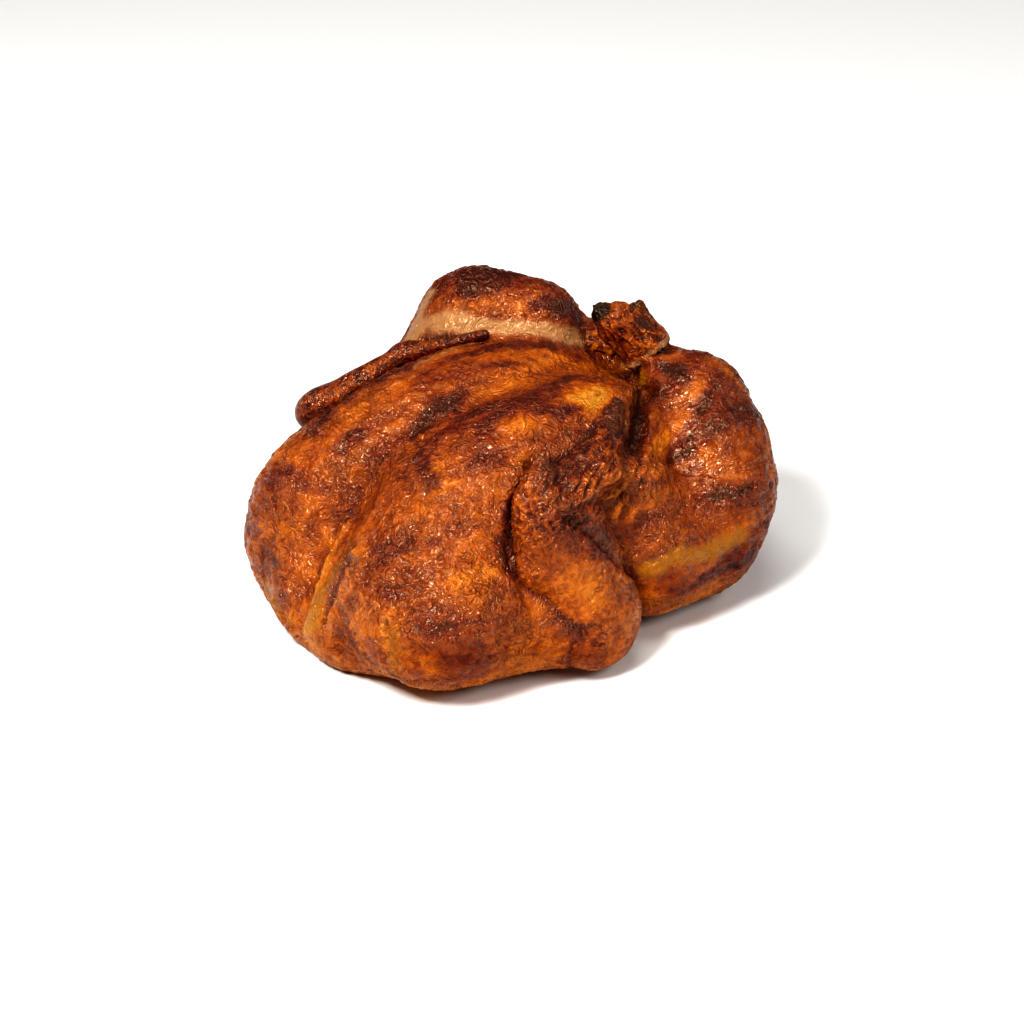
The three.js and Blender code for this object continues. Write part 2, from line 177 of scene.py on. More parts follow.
DARK_STROKES = [
    stroke(0.38, 3.2, (-40, -4, 76), (-26, -10, 82), (-10, -15, 86.5), (8, -14, 86), (24, -6, 83)),
    stroke(0.25, 6.0, (-38, -11, 78), (-26, -20, 83.5), (-8, -22, 86.5), (10, -20, 86)),
    stroke(0.40, 5.0, (-39, 1, 76), (-27, 3, 81), (-18, 4, 84)),
    stroke(0.32, 4.0, (-23, 22, 84), (-7, 22, 87), (17, 20, 86), (34, 10, 81)),
    stroke(0.30, 3.5, (-6, 11, 86), (14, 8, 85)),
    stroke(0.34, 4.0, (-6, -27, 86), (6, -31, 84)),
    stroke(0.35, 3.0, (-61, 17, 69), (-54, 15, 73)),
    stroke(0.35, 4.0, (-63, 32, 68), (-48, 39, 72), (-36, 37, 77), (-26, 32, 82)),
    stroke(0.28, 4.5, (-80, 34, 53), (-76, 28, 58)),
    stroke(0.30, 4.5, (-47, -15, 75), (-51, -29, 73)),
    stroke(0.24, 6.0, (-59, -46, 59), (-50, -45, 64)),
    stroke(0.16, 5.0, (-87, 26, 29), (-86, 12, 28)),
    stroke(0.22, 5.0, (-70, -62, 37), (-56, -66, 39), (-43, -63, 44)),
    # Painted shade on the breast along the near wing's edge.
    stroke(0.28, 5.0, (-30, -47, 68), (-38, -54, 56)),
    stroke(0.28, 3.4, (70, -29, 79), (61, -35, 74.5), (52.5, -37, 70), (45, -37.5, 63.5)),
    stroke(0.26, 3.2, (45, -37.5, 63.5), (41, -40, 57.5), (33.5, -45, 53.5), (27.5, -49, 52)),
    stroke(0.26, 3.2, (76, -39, 69), (62.5, -43, 69.5), (56, -44.5, 67), (50.5, -42, 65),
           (46, -41, 60.5)),
    stroke(0.28, 4.5, (58, -24, 81), (52, -22, 76), (49, -15, 76)),
    stroke(0.36, 3.0, (56.5, -12.5, 81), (58.5, -21, 81)),
    stroke(0.30, 3.0, (48, -56, 50), (55, -59, 49), (63, -60, 49)),
    stroke(0.35, 4.0, (26, -62, 22), (45, -64, 22), (62, -60, 22)),
    # Painted shade on the breast along the near wing's edge.
    stroke(0.35, 3.0, (-34, -52, 64), (-37, -55, 56), (-38, -58, 48)),
    stroke(0.30, 9.0, (8, 59, 95), (25, 52, 100), (35, 41, 98), (43, 27, 91)),
    stroke(0.40, 3.5, (12, 46, 98), (23, 42, 99)),
    stroke(0.35, 3.5, (31, 29, 95), (38, 26, 93)),
]
GOLD_STROKES = [
    stroke(0.08, 8.0, (-52, 26, 74), (-40, 18, 79), (-36, 10, 79)),
    stroke(0.24, 4.5, (-58, -35, 67)),
    stroke(0.24, 5.0, (-59, -58, 48)),
    stroke(0.30, 4.5, (-20, -27, 84), (-15, -30, 84)),
    stroke(0.36, 5.0, (12, -23, 86), (14, -30, 84.5), (23, -24, 84)),
    stroke(0.25, 4.0, (52, -47.5, 61)),
    stroke(0.22, 4.0, (60, -28, 78), (45, -34, 67), (33, -41, 65)),
    stroke(0.30, 2.4, (76, -26, 78.5), (81.5, -34, 67), (80.5, -44.5, 57), (75.5, -54.5, 50.5)),
    stroke(0.22, 4.0, (-22, -59, 58), (-26, -60, 50)),
    stroke(0.30, 2.5, (-45, -6, 74), (-40, -6, 76)),
    stroke(0.24, 2.5, (-46, -26, 76), (-48, -32, 74)),
    stroke(0.28, 5.0, (-82, -50, 35), (-82, -51, 22)),
]
TAUT_STROKES = [
    stroke(1.0, 17, (72, -46, 60), (56, -52, 54)),
    stroke(0.8, 12, (60, -28, 76), (44, -36, 64)),
    stroke(0.8, 11, (-35, 14, 80), (-5, 22, 86), (25, 18, 86)),
    stroke(0.9, 10, (15, -62, 32), (60, -62, 30)),
]
PALE_STROKES = [
    stroke(0.95, 4.2, (-9, 57, 76.5), (-4, 55, 83), (-1, 48, 86), (4, 42, 88), (11, 36, 88),
           (21.5, 28, 87.5), (30.5, 22, 86), (41, 20, 81)),
    stroke(0.85, 3.4, (-5, 58, 81.5), (-1, 59.5, 87), (3.5, 60.5, 91.5)),
    stroke(0.62, 2.6, (-22.5, 29.0, 83.5), (-14, 29.5, 84.5), (-5, 30, 85), (4.5, 31.5, 84.5)),
    stroke(0.55, 3.0, (53, -2, 77), (57, -4, 79), (61, -8, 80)),
]
FAT_STROKES = [
    stroke(0.75, 4.6, (-74, -9, 47), (-79, -12, 40), (-83, -10, 30), (-87, -9, 19)),
    stroke(0.50, 2.5, (-76, -21, 53), (-81, -25, 45)),
    stroke(0.75, 6.0, (-88, 26, 16), (-90, 15, 15)),
    stroke(0.90, 3.2, (56, 10, 71), (50.5, -2.5, 76), (50, -9, 75), (46.5, -16.5, 74.5),
           (38, -27, 76)),
    stroke(0.60, 2.4, (27, -33, 79.5), (23.5, -39, 75.5)),
    stroke(0.90, 4.5, (15.5, -61.5, 33), (27.5, -64.5, 35), (43.5, -63.5, 33), (54, -63, 34)),
    stroke(0.55, 5.0, (-82, -51, 34), (-81, -51, 22)),
]
CHAR_SPOTS = [
    stroke(0.9, 2.6, (69, -60, 33)),
    stroke(0.8, 1.8, (73, -57.5, 46.5)),
    stroke(0.9, 1.3, (69.5, -47.5, 64)),
    stroke(0.9, 1.1, (58.5, -62.5, 37), (60.5, -62.5, 35.5)),
    stroke(0.8, 1.0, (48.5, -56, 50.5)),
    stroke(0.8, 1.0, (58.5, -60, 49)),
    stroke(0.8, 1.2, (36, -63, 37.5)),
    stroke(0.7, 2.2, (-87, 20, 29)),
    stroke(0.6, 2.6, (56.5, -14, 81), (58, -20, 81)),
    stroke(0.5, 2.2, (47, -24, 77)),
    stroke(0.9, 1.1, (-73.5, -4.5, 41), (-74.5, -0.5, 37.5)),
    stroke(0.8, 1.0, (-83.5, -28, 41.5)),
    stroke(0.8, 1.0, (-78, -43.5, 47)),
    stroke(0.8, 1.1, (-82, -49, 37)),
    stroke(0.9, 1.2, (18.5, -26, 85)),
    stroke(0.9, 1.3, (24.5, -25, 83.5), (25, -27, 83)),
    stroke(0.7, 1.0, (28.5, -29.5, 81)),
]
# Painted shade: dark paint in the gap between the near wing's tip and the near leg, and further up
# along that gap.
GAP_SHADE = [
    stroke(1.0, 2.6, (38, -27, 77), (31, -35.5, 75.5), (26.5, -40, 73), (23, -43, 70.5)),
    stroke(0.35, 2.2, (49, -6, 75.5), (44, -16, 75), (35, -29, 77)),
]
WING_DARK = [
    stroke(0.34, 6.0, (24, -31, 82), (11, -41, 79), (-3, -48, 76), (-13, -53, 75)),
    stroke(0.40, 4.0, (25, -31, 82), (15, -39, 80)),
    stroke(0.30, 5.0, (-20, -47, 81), (-18, -52, 76)),
    # Painted shade along the near wing's long crease.
    stroke(0.12, 3.4, (-22, -56, 73), (-16, -63, 64), (-10, -64, 59), (-2, -66, 46), (0, -66, 42)),
    stroke(0.24, 9.0, (-16, -64, 58), (-6, -64, 54)),
    stroke(0.14, 5.0, (-4, -72, 36), (6, -70, 30)),
]
WING_GOLD = [
    stroke(0.24, 6.0, (-12, -69, 44)),
    stroke(0.30, 2.6, (6, -45, 80), (13, -39, 81)),
    stroke(0.20, 3.0, (-2, -54, 68), (6, -50, 70)),
    stroke(0.16, 4.0, (-20, -66, 44), (-10, -74, 26), (-4, -78, 14)),
    stroke(0.16, 5.0, (4, -74, 26), (2, -78, 14)),
]

# Folds of skin: "amount" is the height of the fold in mm.
SKIN_FOLDS = [
    stroke(2.1, 1.7, (-68.5, -0.5, 47), (-73, -1, 40), (-77.5, -2.5, 33.5), (-84.5, -7, 26),
           (-88, -6, 13.5)),
    stroke(1.9, 1.6, (-78, -23, 50.5), (-82.5, -22.5, 42), (-85, -19.5, 32.5),
           (-87.5, -17.5, 23.5)),
    stroke(0.9, 1.3, (-74.5, -19.5, 54.5), (-78.5, -28, 50.5), (-83, -28, 42), (-85.5, -27, 34.5)),
    stroke(-2.0, 1.7, (-79.5, -21.5, 47.5), (-83, -19.5, 39), (-85.5, -17, 30), (-88, -15, 23)),
    stroke(1.2, 1.5, (57, 8, 81), (53, -2, 80), (55, -9, 81), (62, -14, 83)),
    stroke(-1.5, 1.6, (55, 9, 83), (52, 1, 82.5), (55, -6, 83.5), (62, -9, 84)),
    stroke(0.7, 1.3, (-40, -2, 75), (-26, -8, 81), (-8, -12, 86)),
    stroke(-0.6, 1.6, (-40, 2, 76), (-26, -4, 81), (-8, -8, 86)),
]
WEB_FOLDS = [
    stroke(1.7, 1.2, (30, -42, 67), (23.5, -46.5, 62), (19.5, -48, 60.5), (16, -49.5, 59),
           (14, -50.5, 55.5), (10, -51.5, 55), (7.5, -52.5, 52.5)),
    stroke(1.2, 1.3, (28.5, -45, 60), (22.5, -48, 55), (18, -50, 52.5), (15, -52, 48)),
    stroke(1.0, 1.1, (35, -42.5, 57.5), (29.5, -45, 56.5), (26.5, -46.5, 55.5)),
    stroke(-1.5, 1.3, (25, -45, 66), (18, -50, 62.5), (12, -52.5, 59)),
    stroke(-1.3, 1.4, (24, -47, 58), (18, -50, 54), (12, -52.5, 51)),
    stroke(1.8, 1.1, (3.5, -53, 61.5), (8.5, -53, 61.5), (13, -52, 63.5), (16.5, -51, 65),
           (20, -49, 67)),
]
HAND_LINE = np.array((0.83, 0.53, 0.19))  # way the skin is drawn along the folded wing's hand
WING_FOLDS = [
    stroke(1.0, 1.0, (-10.5, -59, 70), (-5, -55, 72), (0.5, -52.5, 74), (5, -50, 76)),
    stroke(0.9, 0.9, (-5.5, -57.5, 69), (-0.5, -54.5, 71), (3.5, -52.5, 73.5), (7, -50.5, 75.5)),
    stroke(0.9, 1.0, (-13, -58, 71.5), (-7, -53.5, 73.5), (-0.5, -50, 76), (8, -44, 79)),
    stroke(-1.0, 1.0, (-8, -58.5, 69.5), (-3, -55, 71.5), (2, -52.5, 73.8), (6, -50.2, 75.8)),
    stroke(-1.0, 1.0, (-11, -58.5, 71), (-6, -54.5, 73), (0, -51.5, 75)),
    stroke(-1.2, 2.0, (-1, -57, 64), (-7.5, -60.5, 65.5), (-14.5, -62, 66.5)),
    stroke(0.9, 1.8, (5.5, -54.5, 70), (9.5, -54, 69)),
    stroke(-1.9, 1.6, (-19, -60, 66), (-15.5, -64, 61.5), (-9, -64.5, 56.5), (-4, -65.5, 50),
           (3.5, -65, 40.5), (11.5, -58.5, 31.5)),
    stroke(-1.6, 1.5, (-13, -50.5, 76), (-15, -53, 73), (-14, -57, 69)),
]
WING_PALE = [
    stroke(0.12, 3.0, (25, -31, 82), (16, -38, 80)),
    stroke(0.50, 1.6, (5.5, -54.5, 70), (9.5, -54, 69)),
    stroke(0.20, 4.0, (-18, -47, 79), (-20, -53, 70)),
    stroke(0.15, 6.0, (-22, -60, 54), (-20, -64, 44)),
]

# The way in which narrow gaps and folds run into the bird, and the one gap that is open: "amount"
# is the depth in mm that the skin draws back.
FOLD_WAY = np.array((0.4751, 0.7252, -0.4983))
FOLD_REACH, WING_FOLD_REACH, GAP_REACH = 9.0, 7.0, 8.0  # how far from its route one still runs on
LEG_GAP = [
    stroke(10, 2.3, (46.5, -16.5, 74.5), (36.5, -29, 77.5), (31, -35.5, 75.5), (26.5, -40, 73),
           (23, -43, 70.5)),
]

# ------------------------------------------------------------------ what a user would change


class RoastForm(bpy.types.PropertyGroup):
    """Sizes of the skin's mesh and relief."""

    skin_cell: bpy.props.FloatProperty(
        name="Skin Cell", description="Spacing of the corners of the body's skin",
        default=1.06 * MM, min=0.5 * MM, precision=5, unit="LENGTH",
    )
    wing_cell: bpy.props.FloatProperty(
        name="Wing Cell", description="Spacing of the corners of the wings' skin",
        default=0.7 * MM, min=0.3 * MM, precision=5, unit="LENGTH",
    )
    shank_cell: bpy.props.FloatProperty(
        name="Ankle Cell", description="Spacing of the corners of the cut ankles",
        default=0.5 * MM, min=0.2 * MM, precision=5, unit="LENGTH",
    )
    crinkle_size: bpy.props.FloatProperty(
        name="Crinkle Size", description="Width of one crinkle of the crisped skin",
        default=3.2 * MM, min=1 * MM, precision=5, unit="LENGTH",
    )
    crinkle_height: bpy.props.FloatProperty(
        name="Crinkle Height", description="Height of the crinkles of the crisped skin",
        default=1.1 * MM, min=0.0, precision=5, unit="LENGTH",
    )
    lump_height: bpy.props.FloatProperty(
        name="Lump Height", description="Height of the soft unevenness of flesh under the skin",
        default=0.9 * MM, min=0.0, precision=5, unit="LENGTH",
    )


class RoastFinish(bpy.types.PropertyGroup):
    """Colours and gloss of the skin."""

    pale: bpy.props.FloatVectorProperty(
        name="Pale Skin", description="Skin that stayed out of the heat",
        subtype="COLOR", size=4, default=linear("#B07C4E"),
    )
    fat: bpy.props.FloatVectorProperty(
        name="Fat", description="Yellow fat under skin that hardly browned",
        subtype="COLOR", size=4, default=linear("#A8680C"),
    )
    gold: bpy.props.FloatVectorProperty(
        name="Golden Skin", description="Lightly coloured skin over fat",
        subtype="COLOR", size=4, default=linear("#D8922A"),
    )
    amber: bpy.props.FloatVectorProperty(
        name="Amber Skin", description="Evenly roasted skin",
        subtype="COLOR", size=4, default=linear("#C66A12"),
    )
    caramel: bpy.props.FloatVectorProperty(
        name="Caramel Skin", description="Well browned skin",
        subtype="COLOR", size=4, default=linear("#98460E"),
    )
    maroon: bpy.props.FloatVectorProperty(
        name="Dark Skin", description="Skin nearest the heat",
        subtype="COLOR", size=4, default=linear("#6C2411"),
    )
    scorched: bpy.props.FloatVectorProperty(
        name="Scorched Skin", description="The darkest skin short of char",
        subtype="COLOR", size=4, default=linear("#48170D"),
    )
    # Also the colour of the painted shade in the gap by the near wing's tip.
    char: bpy.props.FloatVectorProperty(
        name="Char", description="Burnt edges and specks",
        subtype="COLOR", size=4, default=linear("#1E0E09"),
    )
    grease: bpy.props.FloatProperty(
        name="Grease", description="Roughness of the film of rendered fat, lower is shinier",
        default=0.12, min=0.05, max=1.0, subtype="FACTOR",
    )


class RoastSpecks(bpy.types.PropertyGroup):
    """Burnt specks that stick to the skin."""

    density: bpy.props.FloatProperty(
        name="Density", description="Burnt specks on a square metre of skin",
        default=4000.0, min=0.0,
    )
    size: bpy.props.FloatProperty(
        name="Speck Size", description="Radius of the largest burnt speck",
        default=0.68 * MM, min=0.1 * MM, precision=5, unit="LENGTH",
    )
    lowest: bpy.props.FloatProperty(
        name="Lowest", description="Height above the dish below which no specks stick",
        default=4 * MM, min=0.0, precision=5, unit="LENGTH",
    )
    seed: bpy.props.IntProperty(name="Seed", description="Changes where specks fall", default=7)


class RoastStage(bpy.types.PropertyGroup):
    """Floor, lights and camera."""

    floor_colour: bpy.props.FloatVectorProperty(
        name="Floor", description="Colour of the pale floor",
        subtype="COLOR", size=4, default=linear("#EFEDEA"),
    )
    key_power: bpy.props.FloatProperty(
        name="Key Light", description="Power of the large soft light", default=13.4, unit="POWER",
    )
    fill_power: bpy.props.FloatProperty(
        name="Fill Light", description="Power of the weaker soft lights", default=4.1, unit="POWER",
    )
    back_power: bpy.props.FloatProperty(
        name="Back Light", description="Power of the soft lights from behind", default=1.8,
        unit="POWER",
    )
    room_light: bpy.props.FloatProperty(
        name="Room Light", description="Strength of the light from all round", default=0.08,
    )
    lens: bpy.props.FloatProperty(
        name="Lens", description="Focal length of the camera", default=120.76, unit="CAMERA",
    )


# ------------------------------------------------------------------ distances to the forms


def mass(form):
    """Distance to a rounded mass, negative inside it."""
    centre, half = np.array(form["centre"], float), np.array(form["half"], float)
    turn = Euler([math.radians(angle) for angle in form.get("turn", (0, 0, 0))])
    axes = np.array(turn.to_matrix())

    def distance(points):
        near = (points - centre) @ axes / half
        reach = np.linalg.norm(near, axis=1)
        steep = np.linalg.norm(near / half, axis=1)
        return reach * (reach - 1) / np.maximum(steep, 1e-9)

    return distance


def limb(form):
    """Distance to a limb, which swells by "swell" halfway along."""
    start, end = (np.array(place, float) for place in form["ends"])
    thick, thin_end = form["radii"]
    reach = np.linalg.norm(end - start)
    along = (end - start) / reach
    across = None
    if "across" in form:
        across = np.array(form["across"], float)
        across -= along * (across @ along)
        across /= np.linalg.norm(across)

    def distance(points):
        arm = points - start
        share = np.clip(arm @ along / reach, 0, 1)
        off = arm - np.outer(share * reach, along)
        if across is not None:
            off = off + np.outer(off @ across * (1 / form["flat"] - 1), across)
        bulge = form.get("swell", 0) * np.exp(-((share - 0.5) / 0.3) ** 2)
        return np.linalg.norm(off, axis=1) - (thick + (thin_end - thick) * share + bulge)

    return distance


def joined(first, second, blend):
    """Two forms grown together, with the skin drawn across the junction."""

    def distance(points):
        one, other = first(points), second(points)
        overlap = np.maximum(blend - np.abs(one - other), 0) / blend
        return np.minimum(one, other) - overlap * overlap * blend / 4

    return distance


def grown(first, *rest):
    """Forms joined one after the other, each with its own blend."""
    for form, blend in rest:
        first = joined(first, form, blend)
    return first


def route_distance(points, route):
    """Distance to the nearest place on a route."""
    route = [np.array(place, float) for place in route]
    if len(route) == 1:
        return np.linalg.norm(points - route[0], axis=1)
    nearest = np.full(len(points), np.inf)
    for start, end in zip(route[:-1], route[1:]):
        span = end - start
        share = np.clip((points - start) @ span / (span @ span), 0, 1)
        off = np.linalg.norm(points - start - np.outer(share, span), axis=1)
        nearest = np.minimum(nearest, off)
    return nearest


def along_way(points, strokes, reach=FOLD_REACH):
    """Sum of strokes that run on into the bird along FOLD_WAY, for "reach" mm off their routes."""
    total = np.zeros(len(points))
    for one in strokes:
        near = route_distance(points, one["route"]) / reach
        route = np.array(one["route"], float)
        route = route - np.outer(route @ FOLD_WAY, FOLD_WAY)
        off = route_distance(points - np.outer(points @ FOLD_WAY, FOLD_WAY), route) / one["width"]
        total += one["amount"] * np.exp(-off * off - near ** 4)
    return total


def pressed(form, hollow):
    """A form with a soft hollow pressed into it along a route."""

    def distance(points):
        off = route_distance(points, hollow["route"]) / hollow["width"]
        return form(points) + hollow["depth"] * np.exp(-off * off)

    return distance


def slit(form, cuts, reach):
    """A form with narrow gaps cut into it along FOLD_WAY."""
    return lambda points: form(points) + along_way(points, cuts, reach)


def laid_flat(form):
    """What of a form lies above the surface the bird rests on, with a rounded edge."""
    outside = joined(lambda p: -form(p), lambda p: p[:, 2], FLAT_EDGE)
    return lambda points: -outside(points)


def trunk_form():
    """Breast, ribs, shoulders, back, belly and tail."""
    breast = grown(
        mass(BREAST_BONE), (mass(NEAR_LOBE), BLEND["lobes"]), (mass(FAR_LOBE), BLEND["lobes"])
    )
    trunk = grown(
        mass(RIB_CAGE),
        (breast, BLEND["trunk"]),
        (mass(NEAR_SHOULDER), BLEND["shoulder"]),
        (mass(FAR_SHOULDER), BLEND["shoulder"]),
        (mass(NECK_END), BLEND["trunk"]),
        (mass(BACK), BLEND["back"]),
    )
    trunk = pressed(pressed(trunk, NECK_HOLLOW), KEEL_HOLLOW)
    return grown(
        trunk,
        (mass(BELLY), BLEND["belly"]),
        (mass(VENT_FAT), BLEND["vent"]),
        (limb(TAIL), BLEND["tail"]),
    )


def near_leg_form():
    """Ankle, drumstick and thigh on the near side."""
    return grown(
        limb(NEAR_ANKLE),
        (limb(NEAR_ANKLE_ROOT), BLEND["tip"]),
        (limb(NEAR_DRUMSTICK), BLEND["ankle"]),
        (limb(NEAR_THIGH), BLEND["knee"]),
    )


def far_leg_form():
    """Ankle, drumstick, thigh and its web of skin on the far side."""
    return grown(
        limb(FAR_ANKLE),
        (limb(FAR_DRUMSTICK), BLEND["ankle"]),
        (limb(FAR_THIGH), BLEND["hip"]),
        (limb(FAR_WEB), BLEND["web"]),
    )


def body_form():
    """Trunk, legs and upper arms, on their flat back."""
    bird = grown(
        trunk_form(), (near_leg_form(), BLEND["nearLeg"]), (far_leg_form(), BLEND["farLeg"])
    )
    bird = pressed(pressed(bird, LEG_CLEFT), VENT_HOLLOW)
    bird = slit(pressed(bird, WING_BED), LEG_GAP, GAP_REACH)
    bird = grown(
        bird,
        (mass(SIDE_SKIN), BLEND["sideSkin"]),
        (limb(NEAR_UPPER_ARM), BLEND["elbow"]),
        (limb(FAR_UPPER_ARM), BLEND["elbow"]),
    )
    return laid_flat(bird)


def near_wing_form():
    """Forearm, hand, tip and thumb of the wing on the near side."""
    return laid_flat(grown(
        limb(NEAR_FOREARM),
        (limb(NEAR_PALM), BLEND["elbow"]),
        (limb(NEAR_HAND), BLEND["wrist"]),
        (limb(NEAR_TIP), BLEND["tip"]),
        (limb(NEAR_THUMB), BLEND["tip"]),
    ))


def far_wing_form():
    """Forearm, web, hand and tip of the wing on the far side."""
    return laid_flat(grown(
        limb(FAR_FOREARM),
        (mass(FAR_WING_WEB), BLEND["knee"]),
        (limb(FAR_HAND), BLEND["elbow"]),
        (limb(FAR_TIP), BLEND["wrist"]),
    ))


def cuff_form(cuff, horns, mouth):
    """A cut ankle: its cuff, the horns grown on its end, the mouth between them, the torn hem."""
    form = grown(limb(cuff), *((limb(horn), BLEND["horn"]) for horn in horns))
    form = pressed(form, mouth)
    start, end = (np.array(place, float) for place in cuff["ends"])
    along = (end - start) / np.linalg.norm(end - start)

    def cut(points):
        return (points - end) @ along - HEM_WAVE * cloud(points, HEM_WIDTH, HEM_SEED)

    inside = joined(lambda p: -form(p), lambda p: -cut(p), BLEND["cut"])
    return lambda points: -inside(points)


# ------------------------------------------------------------------ tracing a form's skin


def sampled(form, low, high, cell):
    """A form's distances at every corner of a grid of cells."""
    steps = [np.arange(a, b + cell, cell) for a, b in zip(low, high)]
    across = np.stack(np.meshgrid(steps[1], steps[2], indexing="ij"), -1).reshape(-1, 2)
    values = np.empty([len(step) for step in steps])
    for i, x in enumerate(steps[0]):
        points = np.column_stack([np.full(len(across), x), across])
        values[i] = form(points).reshape(values.shape[1:])
    return values


def mended(values, cell):
    """Fills corners where two parts of the skin would touch along a single edge."""
    for _ in range(12):
        busy = False
        for axis in range(3):
            turned = np.moveaxis(values, axis, 0)
            ring = [turned[:, :-1, :-1], turned[:, 1:, :-1], turned[:, 1:, 1:], turned[:, :-1, 1:]]
            inside = [part < 0 for part in ring]
            clash = (inside[0] == inside[2]) & (inside[1] == inside[3]) & (inside[0] != inside[1])
            if not clash.any():
                continue
            busy = True
            for part in ring:
                part[clash & (part >= 0)] = -0.05 * cell
        if not busy:
            break
    return values


def traced(values, low, cell):
    """Corners and four-sided faces of the skin, one corner in each cell it crosses."""
    shape = np.array(values.shape) - 1
    count = np.zeros(shape)
    total = np.zeros((*shape, 3))
    crossings = []
    for axis in range(3):
        others = [(axis + 1) % 3, (axis + 2) % 3]
        size = values.shape[axis]
        start = np.take(values, range(size - 1), axis)
        end = np.take(values, range(1, size), axis)
        crossed = (start < 0) != (end < 0)
        share = np.where(crossed, start / np.where(crossed, start - end, 1), 0)
        crossings.append((crossed, start < 0))
        for step in np.ndindex(2, 2):
            window = [slice(None)] * 3
            for other, shift in zip(others, step):
                window[other] = slice(shift, shift + shape[other])
            part = crossed[tuple(window)]
            count += part
            total[..., axis] += share[tuple(window)]
            for other, shift in zip(others, step):
                total[..., other] += part * shift
    used = count > 0
    number = np.full(shape, -1)
    number[used] = np.arange(used.sum())
    corners = (np.argwhere(used) + total[used] / count[used][:, None]) * cell + low
    faces = []
    for axis, (crossed, leaving) in enumerate(crossings):
        one, two = np.eye(3, dtype=int)[[(axis + 1) % 3, (axis + 2) % 3]]
        at = np.argwhere(crossed)
        fits = (at > 0) | (np.arange(3) == axis)
        at = at[fits.all(axis=1) & (at < shape + (np.arange(3) == axis)).all(axis=1)]
        ring = [number[tuple((at - back).T)] for back in (0 * one, one, one + two, two)]
        ring = np.column_stack(ring)
        outward = leaving[tuple(at.T)]
        faces.append(np.where(outward[:, None], ring, ring[:, ::-1]))
    return corners, np.concatenate(faces)


def slope(form, points, step=0.4):
    """Direction in which the distance to a form grows."""
    parts = []
    for axis in np.eye(3) * step:
        parts.append((form(points + axis) - form(points - axis)) / (2 * step))
    return np.column_stack(parts)


def evened(form, corners, faces, cell, passes=2):
    """Corners moved halfway to the middle of their neighbours and back onto the skin."""
    lying = np.abs(corners[:, 2]) < 0.01
    ends = np.concatenate([faces[:, [i, (i + 1) % 4]] for i in range(4)])
    ends = np.concatenate([ends, ends[:, ::-1]])
    near = np.bincount(ends[:, 0], minlength=len(corners))[:, None]
    for _ in range(passes):
        sums = [np.bincount(ends[:, 0], corners[ends[:, 1], i], len(corners)) for i in range(3)]
        moved = (corners + np.column_stack(sums) / near) / 2
        steep = slope(form, moved)
        strength = (steep * steep).sum(axis=1)
        pace = np.where(strength > 0.6, -form(moved) / np.maximum(strength, 0.6), 0)
        step = steep * np.clip(pace, -0.4 * cell, 0.4 * cell)[:, None]
        corners = moved + step
        corners[lying, 2] = 0
    return corners


def facing(form, corners):
    """The way each corner of a form's skin faces."""
    steep = slope(form, corners)
    return steep / np.maximum(np.linalg.norm(steep, axis=1), 0.3)[:, None]


# ------------------------------------------------------------------ relief and browning


def cloud(points, size, seed):
    """Smooth noise from about -1 to 1 whose patches are about size mm across."""
    shift = Vector((seed * 31.7, seed * 17.3, seed * 5.9))
    return np.array([noise.noise(Vector(place) + shift) for place in points / size])


def clouds(points, rows):
    """Sum of clouds of noise, each a row of strength, patch width in mm and seed."""
    return sum(strength * cloud(points, size, seed) for strength, size, seed in rows)


def crinkled(points, size, seed):
    """Sharp-crested wrinkles about size mm apart, from 0 in the valleys to 1 on the crests."""
    bend = np.column_stack([cloud(points, size * 1.6, seed + i) for i in range(3)])
    crest = 1 - np.abs(cloud(points + bend * size * 0.45, size, seed + 3)) * 2.6
    return np.clip(crest, 0, 1)


def painted(points, strokes):
    """The strength of a set of brush strokes at each point."""
    total = np.zeros(len(points))
    for one in strokes:
        off = route_distance(points, one["route"]) / one["width"]
        total += one["amount"] * np.exp(-off * off)
    return total


def ragged(points, reach, seed):
    """Points moved about, so that what is painted by them gets an uneven edge."""
    wide = np.column_stack([cloud(points, 11, seed + i) for i in range(3)])
    fine = np.column_stack([cloud(points, 3.4, seed + 3 + i) for i in range(3)])
    return points + reach * (wide * 0.9 + fine * 0.5)


def crease(points, forms, width):
    """1 where a point lies against one of some forms, falling off over a width in mm."""
    nearest = np.min([np.abs(form(points)) for form in forms], axis=0)
    return np.exp(-(nearest / width) ** 2)


def smooth(value, low, high):
    """0 below low, 1 above high, and a soft rise between."""
    share = np.clip((value - low) / (high - low), 0, 1)
    return share * share * (3 - 2 * share)


def basted(normal):
    """How much of the fat film a skin holds: all of it on top, hardly any where it faces down."""
    return smooth(normal[:, 2], *FILM_RUNS_OFF)


# ------------------------------------------------------------------ meshes


def skin_object(name, corners, faces, layers, material):
    """An object in metres in the frame, with one named value per corner for each layer."""
    mesh = bpy.data.meshes.new(name)
    mesh.vertices.add(len(corners))
    mesh.vertices.foreach_set("co", ((corners + BIRD_PLACE) * MM).astype(np.float32).ravel())
    mesh.loops.add(faces.size)
    mesh.loops.foreach_set("vertex_index", faces.astype(np.int32).ravel())
    mesh.polygons.add(len(faces))
    mesh.polygons.foreach_set("loop_start", np.arange(0, faces.size, 4, dtype=np.int32))
    mesh.update(calc_edges=True)
    mesh.validate()
    mesh.shade_smooth()
    for layer, values in layers.items():
        held = mesh.attributes.new(layer, "FLOAT", "POINT")
        held.data.foreach_set("value", values.astype(np.float32))
    mesh.materials.append(material)
    made = bpy.data.objects.new(name, mesh)
    bpy.context.scene.collection.objects.link(made)
    return made


def finished(made, node=None):
    """Fixes a piece to the bird's one body, and hides the imported part it replaces, if one is
    named.
    """
    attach(made, "root")
    if node:
        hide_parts(node)


def traced_form(form, low, high, cell):
    """Even corners and faces of a form, the first level half a cell under the surface."""
    low = np.array([low[0], low[1], -cell / 2 if low[2] == 0 else low[2]], float)
    values = mended(sampled(form, low, high, cell), cell)
    corners, faces = traced(values, low, cell)
    return evened(form, corners, faces, cell), faces


# ------------------------------------------------------------------ materials

MIX_A, MIX_B, MIX_RESULT = 6, 7, 2  # a colour mix's sockets, which share their names with others


